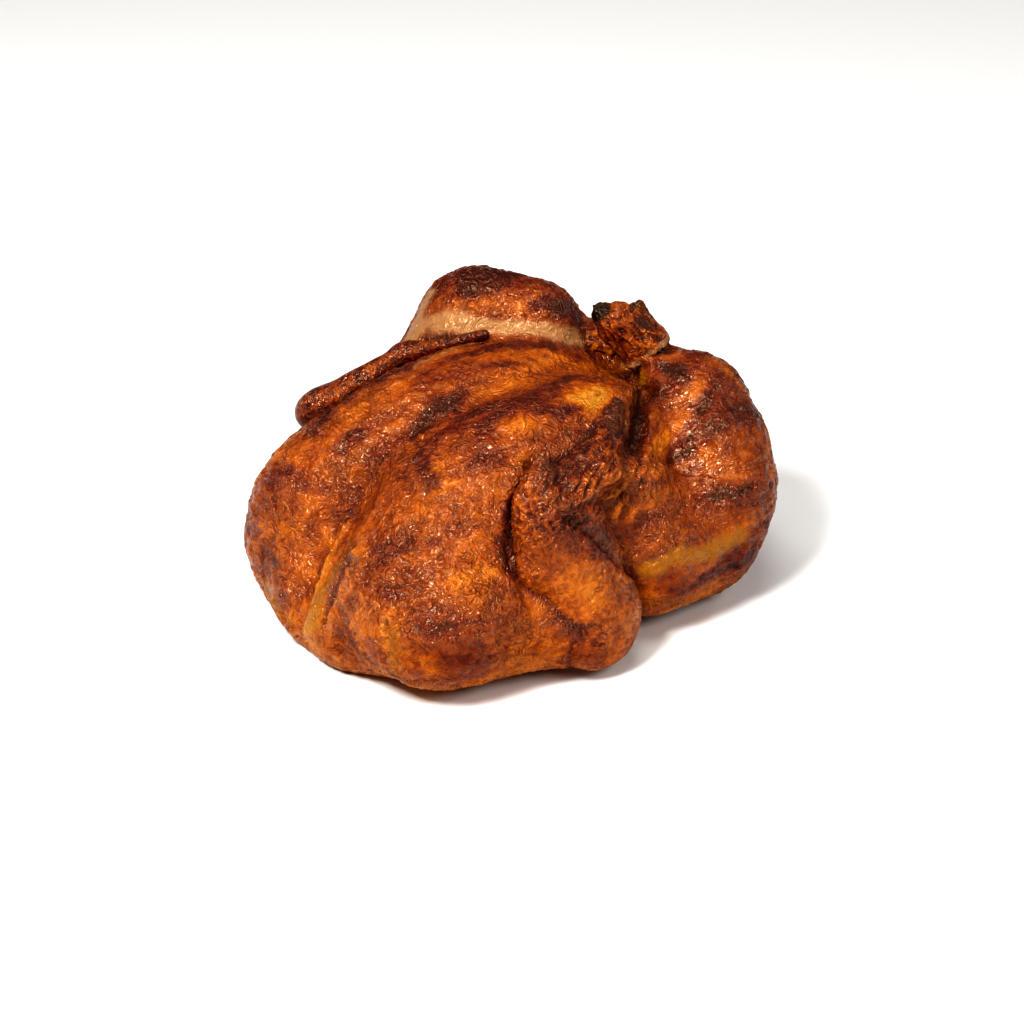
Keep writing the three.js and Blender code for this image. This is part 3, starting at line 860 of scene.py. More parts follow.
def add(tree, kind, values=None, links=None, **settings):
    """Adds a node: settings are its properties, values its inputs, links what feeds them."""
    item = tree.nodes.new(kind)
    item.location = (len(tree.nodes) * 180, 0)
    for name, value in settings.items():
        setattr(item, name, value)
    for socket, value in (values or {}).items():
        item.inputs[socket].default_value = value
    for socket, source in (links or {}).items():
        tree.links.new(source, item.inputs[socket])
    return item


def new_material(name):
    """An empty material with its output and one principled shader."""
    material = bpy.data.materials.new(name)
    material.use_nodes = True
    tree = material.node_tree
    tree.nodes.clear()
    shader = add(tree, "ShaderNodeBsdfPrincipled")
    add(tree, "ShaderNodeOutputMaterial", links={"Surface": shader.outputs["BSDF"]})
    return material, tree, shader


def set_ramp(item, stops):
    """Fills a colour ramp with (place, colour) stops."""
    ramp = item.color_ramp
    while len(ramp.elements) > 1:
        ramp.elements.remove(ramp.elements[-1])
    ramp.elements[0].position, ramp.elements[0].color = stops[0]
    for place, colour in stops[1:]:
        ramp.elements.new(place).color = colour


# Patterns of the skin. A scale is patches in a metre, so each comes from a real width.
MOTTLE = {"Scale": 250.0, "Detail": 3.0, "Roughness": 0.62, "Distortion": 0.8}  # 4 mm across
FLECK = {"Scale": 760.0, "Detail": 2.0, "Roughness": 0.6, "Distortion": 1.2}  # 1.3 mm across
SPREAD = {"Scale": 65.0, "Detail": 1.0}  # patches of taut skin 15 mm across
WRINKLE_TURNS = 20.0  # a wrinkle at each of this many level lines of a noise
WRINKLE_SCALE = 215.0  # such lines about 2 mm apart
FINE_WRINKLE_SCALE = 480.0  # such lines about 0.9 mm apart
DRAWN_OUT = (0.45, 1.0, 1.0)  # how taut skin draws its wrinkles out lengthways

# What each pattern adds to the browning, and to the height of the skin in mm. The crest, wrinkle
# and fine shares to the browning are painted light and shade: lighter on the crests, darker in the
# hollows.
BROWNED_AND_SHADED_BY = {"mottle": 0.6, "fleck": 0.35, "crest": -0.16, "wrinkle": -0.10, "fine": -0.04}
BROWNING_SHIFT = 0.20
LIFTED_BY = {"fleck": 0.12, "wrinkle": 0.56, "fine": 0.20}
TAUT_FLATTENS = 0.45  # share of the height that taut skin loses
TAUT_SHADE = 0.71  # brightness of taut skin, between a crease's and a crest's


def basted_skin(finish):
    """Dry-roasted, basted poultry skin: translucent browned protein under a film of rendered fat.

    The eye sees amber to maroon mottling, winding wrinkles about 2 mm apart and short wet glints.
    """
    made = bpy.data.materials.get("basted_skin")
    if made:
        return made
    material, tree, shader = new_material("basted_skin")
    place = add(tree, "ShaderNodeTexCoord").outputs["Object"]
    brown, pale, fat, char, crest, taut, film = (
        add(tree, "ShaderNodeAttribute", attribute_name=layer).outputs["Fac"]
        for layer in ("browning", "pale", "fat", "char", "crest", "taut", "film")
    )
    mottle, fleck, spread = (
        add(tree, "ShaderNodeTexNoise", pattern, {"Vector": place}).outputs["Fac"]
        for pattern in (MOTTLE, FLECK, SPREAD)
    )
    # Winding wrinkles, broken up into short ones, with finer ones between them: 1 on a crest and 0
    # in a valley. On taut skin they are drawn out lengthways.
    drawn_out = add(
        tree, "ShaderNodeMapping", {"Scale": DRAWN_OUT}, {"Vector": place}
    ).outputs["Vector"]
    waves = []
    for route, scale in (
        (place, WRINKLE_SCALE), (drawn_out, WRINKLE_SCALE), (place, FINE_WRINKLE_SCALE)
    ):
        level = add(
            tree, "ShaderNodeTexNoise",
            {"Scale": scale, "Detail": 1.0, "Roughness": 0.5, "Distortion": 1.2},
            {"Vector": route},
        ).outputs["Fac"]
        wave = add(
            tree, "ShaderNodeMath", {1: WRINKLE_TURNS}, {0: level}, operation="MULTIPLY"
        ).outputs[0]
        wave = add(tree, "ShaderNodeMath", None, {0: wave}, operation="SINE").outputs[0]
        waves.append(add(
            tree, "ShaderNodeMath", {1: 0.5, 2: 0.5}, {0: wave}, operation="MULTIPLY_ADD",
        ).outputs[0])
    winding, drawn, fine = waves
    winding = add(tree, "ShaderNodeMix", None, {0: taut, 2: winding, 3: drawn}).outputs[0]
    broken = add(
        tree, "ShaderNodeMapRange",
        {"From Min": 0.36, "From Max": 0.62, "To Min": 0.3, "To Max": 1.1}, {"Value": mottle},
    ).outputs["Result"]
    wrinkle = add(
        tree, "ShaderNodeMath", None, {0: winding, 1: broken}, operation="MULTIPLY"
    ).outputs[0]
    patterns = {
        "mottle": mottle, "fleck": fleck, "crest": crest, "wrinkle": wrinkle, "fine": fine,
    }
    # Painted light and shade: wrinkle crests lighten the colour, their hollows darken it.
    tone = brown
    for name, share in BROWNED_AND_SHADED_BY.items():
        source = patterns[name]
        if name in ("mottle", "fleck"):
            source = add(
                tree, "ShaderNodeMath", {1: 0.5}, {0: source}, operation="SUBTRACT"
            ).outputs[0]
        tone = add(
            tree, "ShaderNodeMath", {1: share}, {0: source, 2: tone}, operation="MULTIPLY_ADD"
        ).outputs[0]
    tone = add(tree, "ShaderNodeMath", {1: BROWNING_SHIFT}, {0: tone}, operation="ADD").outputs[0]
    ramp = add(tree, "ShaderNodeValToRGB", links={"Fac": tone})
    set_ramp(ramp, [
        (0.0, finish.gold), (0.28, finish.amber), (0.52, finish.caramel),
        (0.78, finish.maroon), (1.0, finish.scorched),
    ])
    colour = ramp.outputs["Color"]
    # The char layer also carries painted shade in the gap by the near wing's tip.
    for part, skin in ((fat, finish.fat), (pale, finish.pale), (char, finish.char)):
        colour = add(
            tree, "ShaderNodeMix", {MIX_B: skin}, {0: part, MIX_A: colour}, data_type="RGBA"
        ).outputs[MIX_RESULT]
    # Skin is calm where it is drawn taut over flesh, and also in wide patches of its own.
    patch = add(
        tree, "ShaderNodeMapRange",
        {"From Min": 0.42, "From Max": 0.62, "To Min": 0.0, "To Max": 0.85}, {"Value": spread},
    ).outputs["Result"]
    calm = add(
        tree, "ShaderNodeMath", None, {0: taut, 1: patch}, operation="MAXIMUM", use_clamp=True
    ).outputs[0]
    # Creases between the wrinkles are shaded by them and hold darker juices.
    shade = add(
        tree, "ShaderNodeMapRange",
        {"From Min": 0.0, "From Max": 0.7, "To Min": 0.50, "To Max": 0.80}, {"Value": wrinkle},
    ).outputs["Result"]
    shade = add(tree, "ShaderNodeMix", {3: TAUT_SHADE}, {0: calm, 2: shade}).outputs[0]
    colour = add(
        tree, "ShaderNodeVectorMath", None, {0: colour, "Scale": shade}, operation="SCALE"
    ).outputs[0]
    tree.links.new(colour, shader.inputs["Base Color"])
    # Height of the wrinkles in millimetres; calm skin is smoother.
    height = None
    for name, share in LIFTED_BY.items():
        links = {0: patterns[name]}
        if height:
            links[2] = height
        height = add(
            tree, "ShaderNodeMath", {1: share}, links,
            operation="MULTIPLY_ADD" if height else "MULTIPLY",
        ).outputs[0]
    rough_skin = add(
        tree, "ShaderNodeMath", {1: -TAUT_FLATTENS, 2: 1.0}, {0: calm}, operation="MULTIPLY_ADD"
    ).outputs[0]
    height = add(
        tree, "ShaderNodeMath", None, {0: height, 1: rough_skin}, operation="MULTIPLY"
    ).outputs[0]
    bump = add(
        tree, "ShaderNodeBump", {"Strength": 1.0, "Distance": 1.0 * MM}, {"Height": height}
    )
    tree.links.new(bump.outputs["Normal"], shader.inputs["Normal"])
    # The film of fat is a little duller on the flecks, and thin where the skin faces down.
    wet = add(
        tree, "ShaderNodeMapRange",
        {"From Min": 0.35, "From Max": 0.65, "To Min": finish.grease,
         "To Max": finish.grease + 0.10},
        {"Value": fleck},
    ).outputs["Result"]
    tree.links.new(wet, shader.inputs["Roughness"])
    gloss = add(
        tree, "ShaderNodeMapRange", {"To Min": 0.12, "To Max": 0.85}, {"Value": film}
    ).outputs["Result"]
    tree.links.new(gloss, shader.inputs["Specular IOR Level"])
    shader.inputs["IOR"].default_value = 1.47  # rendered fat
    shader.inputs["Specular Tint"].default_value = linear("#FFD2A6")  # fat over browned skin
    return material


def burnt_crumb(finish):
    """Carbonised crumb of skin and spice: dull black with a dry, rough face."""
    material, tree, shader = new_material("burnt_crumb")
    place = add(tree, "ShaderNodeTexCoord").outputs["Object"]
    grit = add(tree, "ShaderNodeTexNoise", {"Scale": 2500.0}, {"Vector": place}).outputs["Fac"]
    ramp = add(tree, "ShaderNodeValToRGB", links={"Fac": grit})
    set_ramp(ramp, [(0.35, finish.char), (0.75, linear("#3A1B12"))])
    tree.links.new(ramp.outputs["Color"], shader.inputs["Base Color"])
    shader.inputs["Roughness"].default_value = 0.62
    shader.inputs["IOR"].default_value = 1.5
    return material


def pale_floor(stage):
    """Matt painted board: an even, pale, non-shiny ground."""
    material, _, shader = new_material("pale_floor")
    shader.inputs["Base Color"].default_value = stage.floor_colour
    shader.inputs["Roughness"].default_value = 0.9
    shader.inputs["Specular IOR Level"].default_value = 0.2
    return material


# ------------------------------------------------------------------ geometry nodes

SPECK_TURN = (6.28, 6.28, 6.28)  # the most a speck is turned about each axis, in radians
SMALLEST_SPECK, LARGEST_SPECK = (0.2, 0.2, 0.15), (1.0, 0.8, 0.5)  # shares of the speck size


def speck_tree(material):
    """Specks strewn over a skin: low crumbs of random size and turn, sunk a little into it."""
    tree = bpy.data.node_groups.new("burnt_specks", "GeometryNodeTree")
    tree.interface.new_socket("Geometry", in_out="INPUT", socket_type="NodeSocketGeometry")
    for name in ("Density", "Size", "Lowest"):
        tree.interface.new_socket(name, in_out="INPUT", socket_type="NodeSocketFloat")
    tree.interface.new_socket("Seed", in_out="INPUT", socket_type="NodeSocketInt")
    tree.interface.new_socket("Geometry", in_out="OUTPUT", socket_type="NodeSocketGeometry")
    given = add(tree, "NodeGroupInput").outputs
    spot = add(tree, "GeometryNodeInputPosition").outputs["Position"]
    spot = add(tree, "ShaderNodeSeparateXYZ", None, {"Vector": spot})
    high = add(
        tree, "FunctionNodeCompare", None, {0: spot.outputs["Z"], 1: given["Lowest"]},
        data_type="FLOAT", operation="GREATER_THAN",
    ).outputs["Result"]
    points = add(
        tree, "GeometryNodeDistributePointsOnFaces", None,
        {"Mesh": given["Geometry"], "Selection": high, "Density": given["Density"],
         "Seed": given["Seed"]},
    )
    crumb = add(tree, "GeometryNodeMeshIcoSphere", {"Subdivisions": 1}, {"Radius": given["Size"]})
    turn = add(
        tree, "FunctionNodeRandomValue",
        {0: (0.0, 0.0, 0.0), 1: SPECK_TURN}, {"Seed": given["Seed"]},
        data_type="FLOAT_VECTOR",
    ).outputs[0]
    stretch = add(
        tree, "FunctionNodeRandomValue",
        {0: SMALLEST_SPECK, 1: LARGEST_SPECK}, {"Seed": given["Seed"]},
        data_type="FLOAT_VECTOR",
    ).outputs[0]
    strewn = add(
        tree, "GeometryNodeInstanceOnPoints", None,
        {"Points": points.outputs["Points"], "Instance": crumb.outputs["Mesh"],
         "Rotation": turn, "Scale": stretch},
    )
    solid = add(
        tree, "GeometryNodeRealizeInstances", None, {"Geometry": strewn.outputs["Instances"]}
    )
    painted_crumbs = add(
        tree, "GeometryNodeSetMaterial", {"Material": material},
        {"Geometry": solid.outputs["Geometry"]},
    )
    add(tree, "NodeGroupOutput", None, {"Geometry": painted_crumbs.outputs["Geometry"]})
    return tree


# ------------------------------------------------------------------ numbers of each piece

# Boxes in mm in which the forms are traced.
BODY_BOX = ((-96, -86, 0), (98, 86, 106))
NEAR_WING_BOX = ((-40, -86, 1.0), (34, -22, 92))
FAR_WING_BOX = ((-60, 24, 6), (24, 84, 96))
NEAR_ANKLE_BOX = ((38, -14, 66), (74, 20, 106))
FAR_ANKLE_BOX = ((36, -2, 58), (80, 40, 92))

# Noise on each piece: rows of strength, width of a patch in mm and seed. Relief is in mm, and
# browning goes from 0, golden, to 1, scorched.
BODY_LUMP = (19, 5)
BODY_GRAIN = [(0.25, 2.6, 9)]
BODY_PATCHES = [(0.16, 24, 21)]
BODY_STREAKS = [(0.26, 9, 27), (0.16, 4, 29)]
WING_RELIEF = [(0.6, 9, 35)]
WING_GRAIN = [(0.2, 1.7, 39)]
WING_PATCHES = [(0.12, 16, 41), (0.12, 6, 43)]
WING_TAUT = [(0.35, 12, 45)]
ANKLE_RELIEF = [(0.9, 7, 51), (0.3, 1.6, 57)]
ANKLE_PATCHES = [(0.30, 7, 61), (0.30, 2.6, 65)]
CHAR_EDGE = [(2.0, 3.5, 59)]
HEM_EDGE = [(1.2, 4, 63)]

# Wrinkles in the mesh: width in mm and seed.
BODY_CREST_SEED = 3
BODY_WIDE_CREST = (7.5, 71)
WIDE_CREST_SHARE = 0.4
WING_CREST = (2.6, 33)
HAND_CREST = (2.2, 33)
ANKLE_CREST = (2.6, 53)

# Height in mm of the wrinkles on the wings and ankles, and how taut the wings' skin is drawn.
FOREARM_WRINKLE, HAND_WRINKLE, FAR_WING_WRINKLE, ANKLE_WRINKLE = 0.45, 0.55, 0.12, 1.1
FOREARM_TAUT, FAR_WING_TAUT = 0.25, 0.4
HAND_STARTS = (52, 62)  # heights in mm between which the forearm turns into the hand

# How skin is stretched: along the bird, along the folded hand and along a shank.
ALONG_BIRD = (0.35, 1, 1)
ALONG_HAND = 0.72
ALONG_SHANK = 0.65

# How far in mm painted edges wander, and the seed.
BODY_RAGGED = (2.6, 11)
WING_RAGGED = (2.0, 31)

# Even browning of each piece, the far wing's on top of both wings', and what is added to it.
BODY_BROWN, WING_BROWN, FAR_WING_BROWN, ANKLE_BROWN = 0.45, 0.34, 0.30, 0.62
DARKEST_WING = 0.88
TOP_BROWN, LOW_PALING = 0.06, 0.20  # more towards the top, less close to the dish
STROKE_BROWN = 0.34
NEAR_SHANK_BROWN = 0.10  # over the near drumstick
HAND_BROWN, FAR_TIP_BROWN = 0.16, 0.16  # up the near forearm, and towards the far wing's tip

# Between which two places in mm such a change comes about.
TOP_HEIGHTS, LOW_HEIGHTS, FOREARM_HEIGHTS = (20, 80), (6, 32), (34, 54)
SHANK_STARTS, NEAR_SIDE, FAR_TIP_STARTS = (38, 58), (5, 20), (-30, 15)

# Between which two strengths a painted stroke sets in.
PALE_EDGE, FAT_EDGE, DARK_EDGE = (0.22, 0.75), (0.15, 0.9), (0.05, 0.38)

# Painted shade in seams, gaps and the hollows of folds and wrinkles, painted light on the backs of
# folds and on crests; hems and char.
# Painted shade in the gap by the near wing's tip: how much it adds to the browning, and how far it
# blackens the skin with the char colour.
GAP_SHADE_DARKENING, GAP_SHADE_BLACKENING = 0.5, 0.85
# Painted light and shade on folds: a painted highlight on a fold's back, painted shade in its
# hollow.
FOLD_LIGHT_AND_SHADE, WING_FOLD_LIGHT_AND_SHADE = 0.16, 0.12  # on the back of a fold, and darker in its hollow
# Painted light and shade on the wrinkles of the near hand and of the ankles: lighter on the crests,
# darker in the hollows.
CREST_LIGHT_AND_SHADE, SHANK_CREST_LIGHT_AND_SHADE = 0.25, 0.30
# Painted shade, with the juices that gather there: darker browning where the legs grow out of the
# trunk, on the body where a wing lies against it, and on the wings where they lie against the body.
SEAM_SHADE, SEAM_WIDTH = 0.30, 2.6  # where the legs grow out of the trunk
WING_SEAM_SHADE, WING_SEAM_WIDTH = 0.30, 1.6  # on the body, where a wing lies against it
BODY_SEAM_SHADE, BODY_SEAM_WIDTH = 0.22, 1.5  # on the wings, where they lie against the body
PALE_SMOOTHS = 0.75  # share of its wrinkles that pale skin lacks
PALE_MOST, HEM_PALE = 0.6, 0.8
CHAR_GAIN, CHAR_FROM = 1.6, 0.4  # sharpens the edge of a charred spot
CHAR_SPREAD = (3.0, 7.0)  # mm off a horn's tip where the char starts to fade, and where it ends
HEM_STARTS = (-3.2, -1.4)  # mm before a cuff's end where its pale hem starts, and is whole
ROOTED = (0.2, 3.0)  # heights in mm between which the relief grows from none to all
FILM_RUNS_OFF = (-0.15, 0.5)  # how far up skin faces where its film of fat starts, and is whole


# ------------------------------------------------------------------ operators


class ROAST_OT_body(bpy.types.Operator):
    """Make the crinkled, browned skin of the breast, back, legs and tail"""

    bl_idname = "roast.body"
    bl_label = "Body Skin"

    def execute(self, context):
        sizes, finish = context.scene.roast_form, context.scene.roast_finish
        form = body_form()
        corners, faces = traced_form(form, *BODY_BOX, sizes.skin_cell / MM)
        normal = facing(form, corners)
        high = corners[:, 2]
        loose = ragged(corners, *BODY_RAGGED)
        pale = smooth(painted(loose, PALE_STROKES), *PALE_EDGE)
        fat = smooth(painted(loose, FAT_STROKES), *FAT_EDGE)

        narrow = crinkled(corners, sizes.crinkle_size / MM, BODY_CREST_SEED)
        wide = crinkled(corners, *BODY_WIDE_CREST)
        crest = (1 - WIDE_CREST_SHARE) * narrow + WIDE_CREST_SHARE * wide
        wrinkles = (sizes.crinkle_height / MM) * (crest - 0.5) + clouds(corners, BODY_GRAIN)
        folds = along_way(corners, SKIN_FOLDS + WEB_FOLDS)
        height = (sizes.lump_height / MM) * cloud(corners, *BODY_LUMP)
        height += wrinkles * (1 - PALE_SMOOTHS * pale) + folds
        height *= smooth(high, *ROOTED)
        placed = corners + normal * height[:, None]
        placed[:, 2] = np.maximum(placed[:, 2], 0)

        brown = BODY_BROWN + clouds(corners, BODY_PATCHES)
        brown += clouds(corners * ALONG_BIRD, BODY_STREAKS)
        brown += TOP_BROWN * smooth(high, *TOP_HEIGHTS)
        brown -= LOW_PALING * (1 - smooth(high, *LOW_HEIGHTS))
        # Dark strokes: mostly darker browning, and painted shade on the breast along the near
        # wing's edge.
        brown += STROKE_BROWN * smooth(painted(loose, DARK_STROKES), *DARK_EDGE)
        near_shank = smooth(corners[:, 0], *SHANK_STARTS) * smooth(-corners[:, 1], *NEAR_SIDE)
        brown += NEAR_SHANK_BROWN * near_shank - painted(loose, GOLD_STROKES)
        # Painted shade in the gap by the near wing's tip, as darker browning and as char colour.
        gap = along_way(corners, GAP_SHADE)
        # Painted light and shade on the folds: lighter on their backs, darker in their hollows.
        brown += GAP_SHADE_DARKENING * gap - FOLD_LIGHT_AND_SHADE * folds
        # Painted shade, with the juices that gather there, where the legs grow out of the trunk and
        # where the wings lie against the body.
        legs = np.minimum(near_leg_form()(corners), far_leg_form()(corners))
        seam = (np.abs(legs) + np.abs(trunk_form()(corners))) / SEAM_WIDTH
        brown += SEAM_SHADE * np.exp(-seam ** 2)
        wings = [near_wing_form(), far_wing_form()]
        brown += WING_SEAM_SHADE * crease(corners, wings, WING_SEAM_WIDTH)
        char = np.clip(painted(loose, CHAR_SPOTS) * CHAR_GAIN - CHAR_FROM, 0, 1)
        # Painted shade: the gap by the near wing's tip is blackened through the char layer too.
        char = np.maximum(char, np.clip(GAP_SHADE_BLACKENING * gap, 0, GAP_SHADE_BLACKENING))
        layers = {
            "browning": brown, "pale": pale, "fat": fat, "char": char, "crest": crest,
            "taut": np.clip(painted(corners, TAUT_STROKES) + pale, 0, 1),
            "film": basted(normal),
        }
        made = skin_object("roasted_body", placed, faces, layers, basted_skin(finish))
        finished(made, "roast_chicken")
        return {"FINISHED"}


class ROAST_OT_wings(bpy.types.Operator):
    """Make the folded wings, dark and leathery at their tips"""

    bl_idname = "roast.wings"
    bl_label = "Wings"

    def execute(self, context):
        sizes, finish = context.scene.roast_form, context.scene.roast_finish
        body = body_form()
        wings = [
            ("near_wing", near_wing_form(), NEAR_WING_BOX),
            ("far_wing", far_wing_form(), FAR_WING_BOX),
        ]
        for name, form, box in wings:
            far = name == "far_wing"
            corners, faces = traced_form(form, *box, sizes.wing_cell / MM)
            normal = facing(form, corners)
            high = corners[:, 2]
            loose = ragged(corners, *WING_RAGGED)
            drawn = corners - ALONG_HAND * np.outer(corners @ HAND_LINE, HAND_LINE)
            on_hand = smooth(high, *HAND_STARTS)
            crest = crinkled(corners, *WING_CREST) * (1 - on_hand)
            crest += crinkled(drawn, *HAND_CREST) * on_hand
            wrinkled = FAR_WING_WRINKLE if far else FOREARM_WRINKLE + HAND_WRINKLE * on_hand
            folds = along_way(corners, WING_FOLDS + WEB_FOLDS, WING_FOLD_REACH) * (not far)
            grain = clouds(corners, WING_GRAIN)
            height = clouds(corners, WING_RELIEF) + wrinkled * (crest - 0.5 + grain) + folds
            height *= smooth(high, *ROOTED)
            placed = corners + normal * height[:, None]

            brown = WING_BROWN + clouds(corners, WING_PATCHES)
            if far:
                brown += FAR_WING_BROWN + FAR_TIP_BROWN * smooth(corners[:, 0], *FAR_TIP_STARTS)
            else:
                brown += HAND_BROWN * smooth(high, *FOREARM_HEIGHTS)
            # Dark strokes: darker browning, and painted shade along the near wing's long crease.
            brown += painted(loose, WING_DARK) - painted(loose, WING_GOLD)
            # Painted light and shade: lighter on the backs of folds and on the crests of the hand's
            # wrinkles, darker in their hollows.
            brown -= WING_FOLD_LIGHT_AND_SHADE * folds + CREST_LIGHT_AND_SHADE * (crest - 0.5) * on_hand
            # Painted shade, with the juices that gather there, where the wing lies against the
            # body.
            brown += BODY_SEAM_SHADE * crease(corners, [body], BODY_SEAM_WIDTH)
            taut = FOREARM_TAUT * (1 - on_hand) + clouds(corners, WING_TAUT)
            layers = {
                "browning": np.minimum(brown, DARKEST_WING),
                "pale": np.clip(painted(loose, WING_PALE), 0, PALE_MOST),
                "crest": crest, "taut": taut + FAR_WING_TAUT * far, "film": basted(normal),
            }
            finished(skin_object(name, placed, faces, layers, basted_skin(finish)))
        return {"FINISHED"}


class ROAST_OT_ankles(bpy.types.Operator):
    """Make the cut ankles, with torn skin and charred horns of sinew"""

    bl_idname = "roast.ankles"
    bl_label = "Ankles"

    def execute(self, context):
        sizes, finish = context.scene.roast_form, context.scene.roast_finish
        ankles = [
            ("near_ankle", NEAR_CUFF, NEAR_HORNS, NEAR_MOUTH, NEAR_ANKLE_BOX),
            ("far_ankle", FAR_CUFF, FAR_HORNS, FAR_MOUTH, FAR_ANKLE_BOX),
        ]
        for name, cuff, horns, mouth, box in ankles:
            form = cuff_form(cuff, horns, mouth)
            corners, faces = traced_form(form, *box, sizes.shank_cell / MM)
            normal = facing(form, corners)
            start, end = (np.array(place, float) for place in cuff["ends"])
            along = (end - start) / np.linalg.norm(end - start)
            drawn = corners - ALONG_SHANK * np.outer(corners @ along, along)
            crest = crinkled(drawn, *ANKLE_CREST)
            height = clouds(corners, ANKLE_RELIEF) + ANKLE_WRINKLE * (crest - 0.5)
            placed = corners + normal * height[:, None]
            off = [
                np.linalg.norm(corners - np.array(horn["ends"][1]), axis=1) / horn.get("burnt", 1)
                for horn in horns
            ]
            unburnt = smooth(np.min(off, axis=0) + clouds(corners, CHAR_EDGE), *CHAR_SPREAD)
            brown = ANKLE_BROWN + clouds(corners, ANKLE_PATCHES)
            hem = (corners - end) @ along + clouds(corners, HEM_EDGE)
            layers = {
                # Painted light and shade: the ankle's wrinkles are lighter on their crests and
                # darker in their hollows.
                "browning": brown + SHANK_CREST_LIGHT_AND_SHADE * (0.5 - crest),
                "pale": HEM_PALE * smooth(hem, *HEM_STARTS),
                "char": 1 - unburnt, "crest": crest, "film": basted(normal),
            }
            finished(skin_object(name, placed, faces, layers, basted_skin(finish)))
        return {"FINISHED"}


class ROAST_OT_specks(bpy.types.Operator):
    """Scatter burnt specks of skin and spice over the bird"""

    bl_idname = "roast.specks"
    bl_label = "Burnt Specks"

    def execute(self, context):
        specks, finish = context.scene.roast_specks, context.scene.roast_finish
        body = bpy.data.objects["roasted_body"]
        made = bpy.data.objects.new("burnt_specks", body.data.copy())
        context.scene.collection.objects.link(made)
        tree = speck_tree(burnt_crumb(finish))
        modifier = made.modifiers.new("Specks", "NODES")
        modifier.node_group = tree
        wanted = {
            "Density": specks.density, "Size": specks.size, "Lowest": specks.lowest,
            "Seed": specks.seed,
        }
        for item in tree.interface.items_tree:
            if item.item_type == "SOCKET" and item.name in wanted:
                modifier[item.identifier] = wanted[item.name]
        context.view_layer.update()
        evaluated = made.evaluated_get(context.evaluated_depsgraph_get())
        mesh = bpy.data.meshes.new_from_object(evaluated)
        made.modifiers.remove(modifier)
        made.data = mesh
        mesh.name = "burnt_specks"
        if not mesh.polygons:
            raise RuntimeError("no specks fell on the skin")
        finished(made)
        return {"FINISHED"}


# Soft lights: name, azimuth and elevation in degrees, distance and width in metres, power.
SOFTBOXES = [
    ("key", -66, 50, 1.1, 0.26, "key_power"),
    ("fill", 8, 40, 1.2, 0.4, "fill_power"),
    ("top", -40, 78, 1.1, 0.5, "fill_power"),
    ("right", 88, 34, 1.4, 0.4, "back_power"),
    ("back", 205, 50, 1.5, 0.4, "back_power"),
]
LIT_MIDDLE = (0, 0, 45 * MM)
FLOOR_HALF = 2.5  # metres
VIEW_MIDDLE = (-2.529 * MM, -4.062 * MM, 33.0 * MM)
VIEW_FROM = (-33.23, 29.889)  # azimuth and elevation in degrees
VIEW_DISTANCE = 1.2319  # metres
SENSOR_WIDTH = 36  # mm


def looking_back(item, middle, azimuth, elevation, distance):
    """An object for a light or camera that looks at the middle from an azimuth and elevation."""
    a, e = math.radians(azimuth), math.radians(elevation)
    back = Vector((math.sin(a) * math.cos(e), -math.cos(a) * math.cos(e), math.sin(e)))
    made = bpy.data.objects.new(item.name, item)
    made.location = Vector(middle) + back * distance
    made.rotation_euler = (-back).to_track_quat("-Z", "Y").to_euler()
    bpy.context.scene.collection.objects.link(made)
    return made


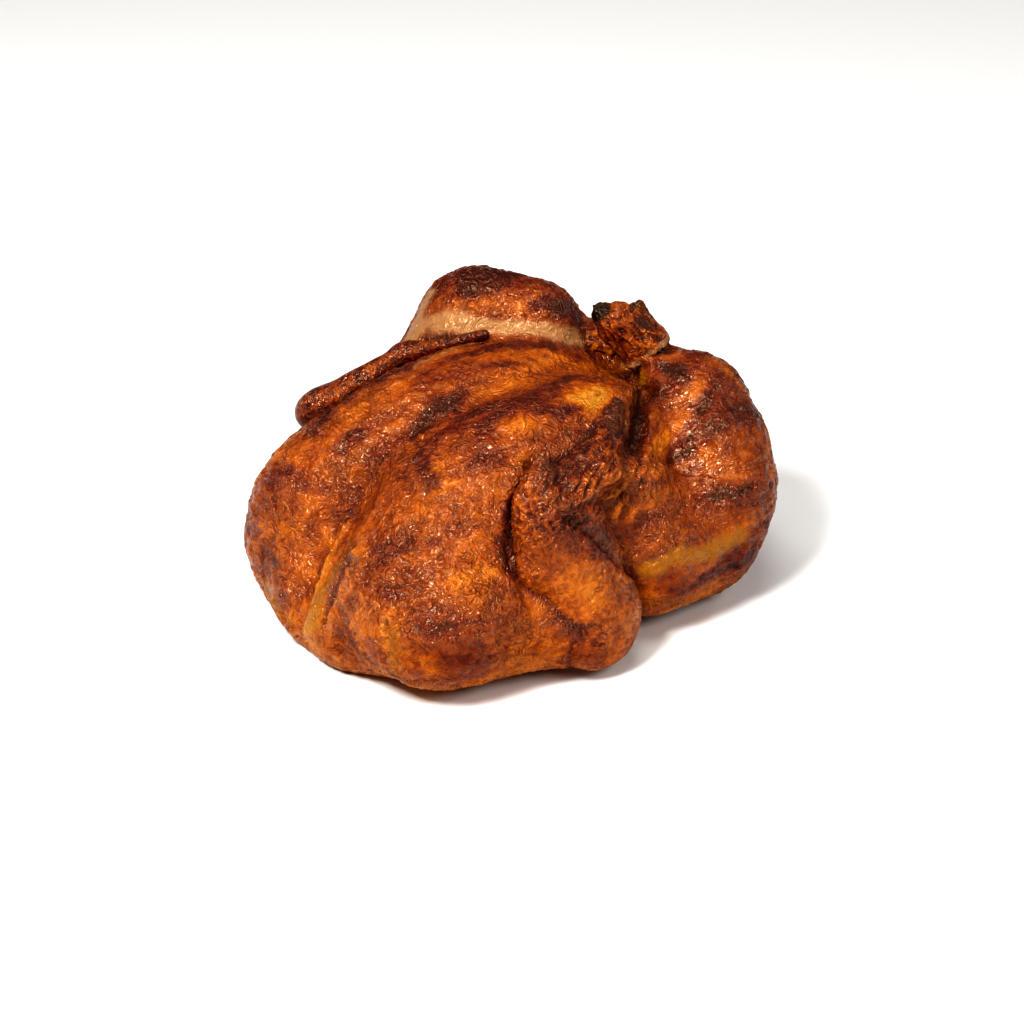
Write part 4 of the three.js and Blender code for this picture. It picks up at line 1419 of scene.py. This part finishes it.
class ROAST_OT_stage(bpy.types.Operator):
    """Set the pale floor, the soft lights and the camera"""

    bl_idname = "roast.stage"
    bl_label = "Stage"

    def execute(self, context):
        scene, stage = context.scene, context.scene.roast_stage
        mesh = bpy.data.meshes.new("floor")
        half = FLOOR_HALF
        corners = [(-half, -half, 0), (half, -half, 0), (half, half, 0), (-half, half, 0)]
        mesh.from_pydata(corners, [], [(0, 1, 2, 3)])
        mesh.materials.append(pale_floor(stage))
        floor = bpy.data.objects.new("floor", mesh)
        scene.collection.objects.link(floor)
        scene.world = bpy.data.worlds.new("room")
        scene.world.use_nodes = True
        background = scene.world.node_tree.nodes["Background"]
        background.inputs["Color"].default_value = linear("#FFFFFF")
        background.inputs["Strength"].default_value = stage.room_light
        for name, azimuth, elevation, distance, width, power in SOFTBOXES:
            light = bpy.data.lights.new(name, "AREA")
            light.size, light.energy = width, getattr(stage, power)
            looking_back(light, LIT_MIDDLE, azimuth, elevation, distance)
        camera = bpy.data.cameras.new("camera")
        camera.lens, camera.sensor_width = stage.lens, SENSOR_WIDTH
        camera.dof.use_dof = False
        scene.camera = looking_back(camera, VIEW_MIDDLE, *VIEW_FROM, VIEW_DISTANCE)
        scene.view_settings.view_transform = "Standard"
        scene.view_settings.look = "High Contrast"
        return {"FINISHED"}


class ROAST_PT_panel(bpy.types.Panel):
    """Lists what the roast chicken is made with"""

    bl_label = "Roast Chicken"
    bl_idname = "ROAST_PT_panel"
    bl_space_type = "VIEW_3D"
    bl_region_type = "UI"
    bl_category = "Roast Chicken"

    def draw(self, context):
        scene = context.scene
        groups = [scene.roast_form, scene.roast_finish, scene.roast_specks, scene.roast_stage]
        for group in groups:
            box = self.layout.box()
            for name in group.__annotations__:
                box.prop(group, name)
        for operator in OPERATORS:
            self.layout.operator(operator.bl_idname)


GROUPS = {
    "roast_form": RoastForm,
    "roast_finish": RoastFinish,
    "roast_specks": RoastSpecks,
    "roast_stage": RoastStage,
}
OPERATORS = [ROAST_OT_body, ROAST_OT_wings, ROAST_OT_ankles, ROAST_OT_specks, ROAST_OT_stage]


def register():
    """Makes the properties, operators and panel known to Blender."""
    for kind in (*GROUPS.values(), *OPERATORS, ROAST_PT_panel):
        bpy.utils.register_class(kind)
    for name, group in GROUPS.items():
        setattr(bpy.types.Scene, name, bpy.props.PointerProperty(type=group))


def unregister():
    """Takes the properties, operators and panel out again."""
    for name in GROUPS:
        delattr(bpy.types.Scene, name)
    for kind in reversed((*GROUPS.values(), *OPERATORS, ROAST_PT_panel)):
        bpy.utils.unregister_class(kind)


def main():
    """Builds every piece and the stage."""
    register()
    bpy.ops.roast.body()
    bpy.ops.roast.wings()
    bpy.ops.roast.ankles()
    bpy.ops.roast.specks()
    bpy.ops.roast.stage()


if __name__ == "__main__":
    main()
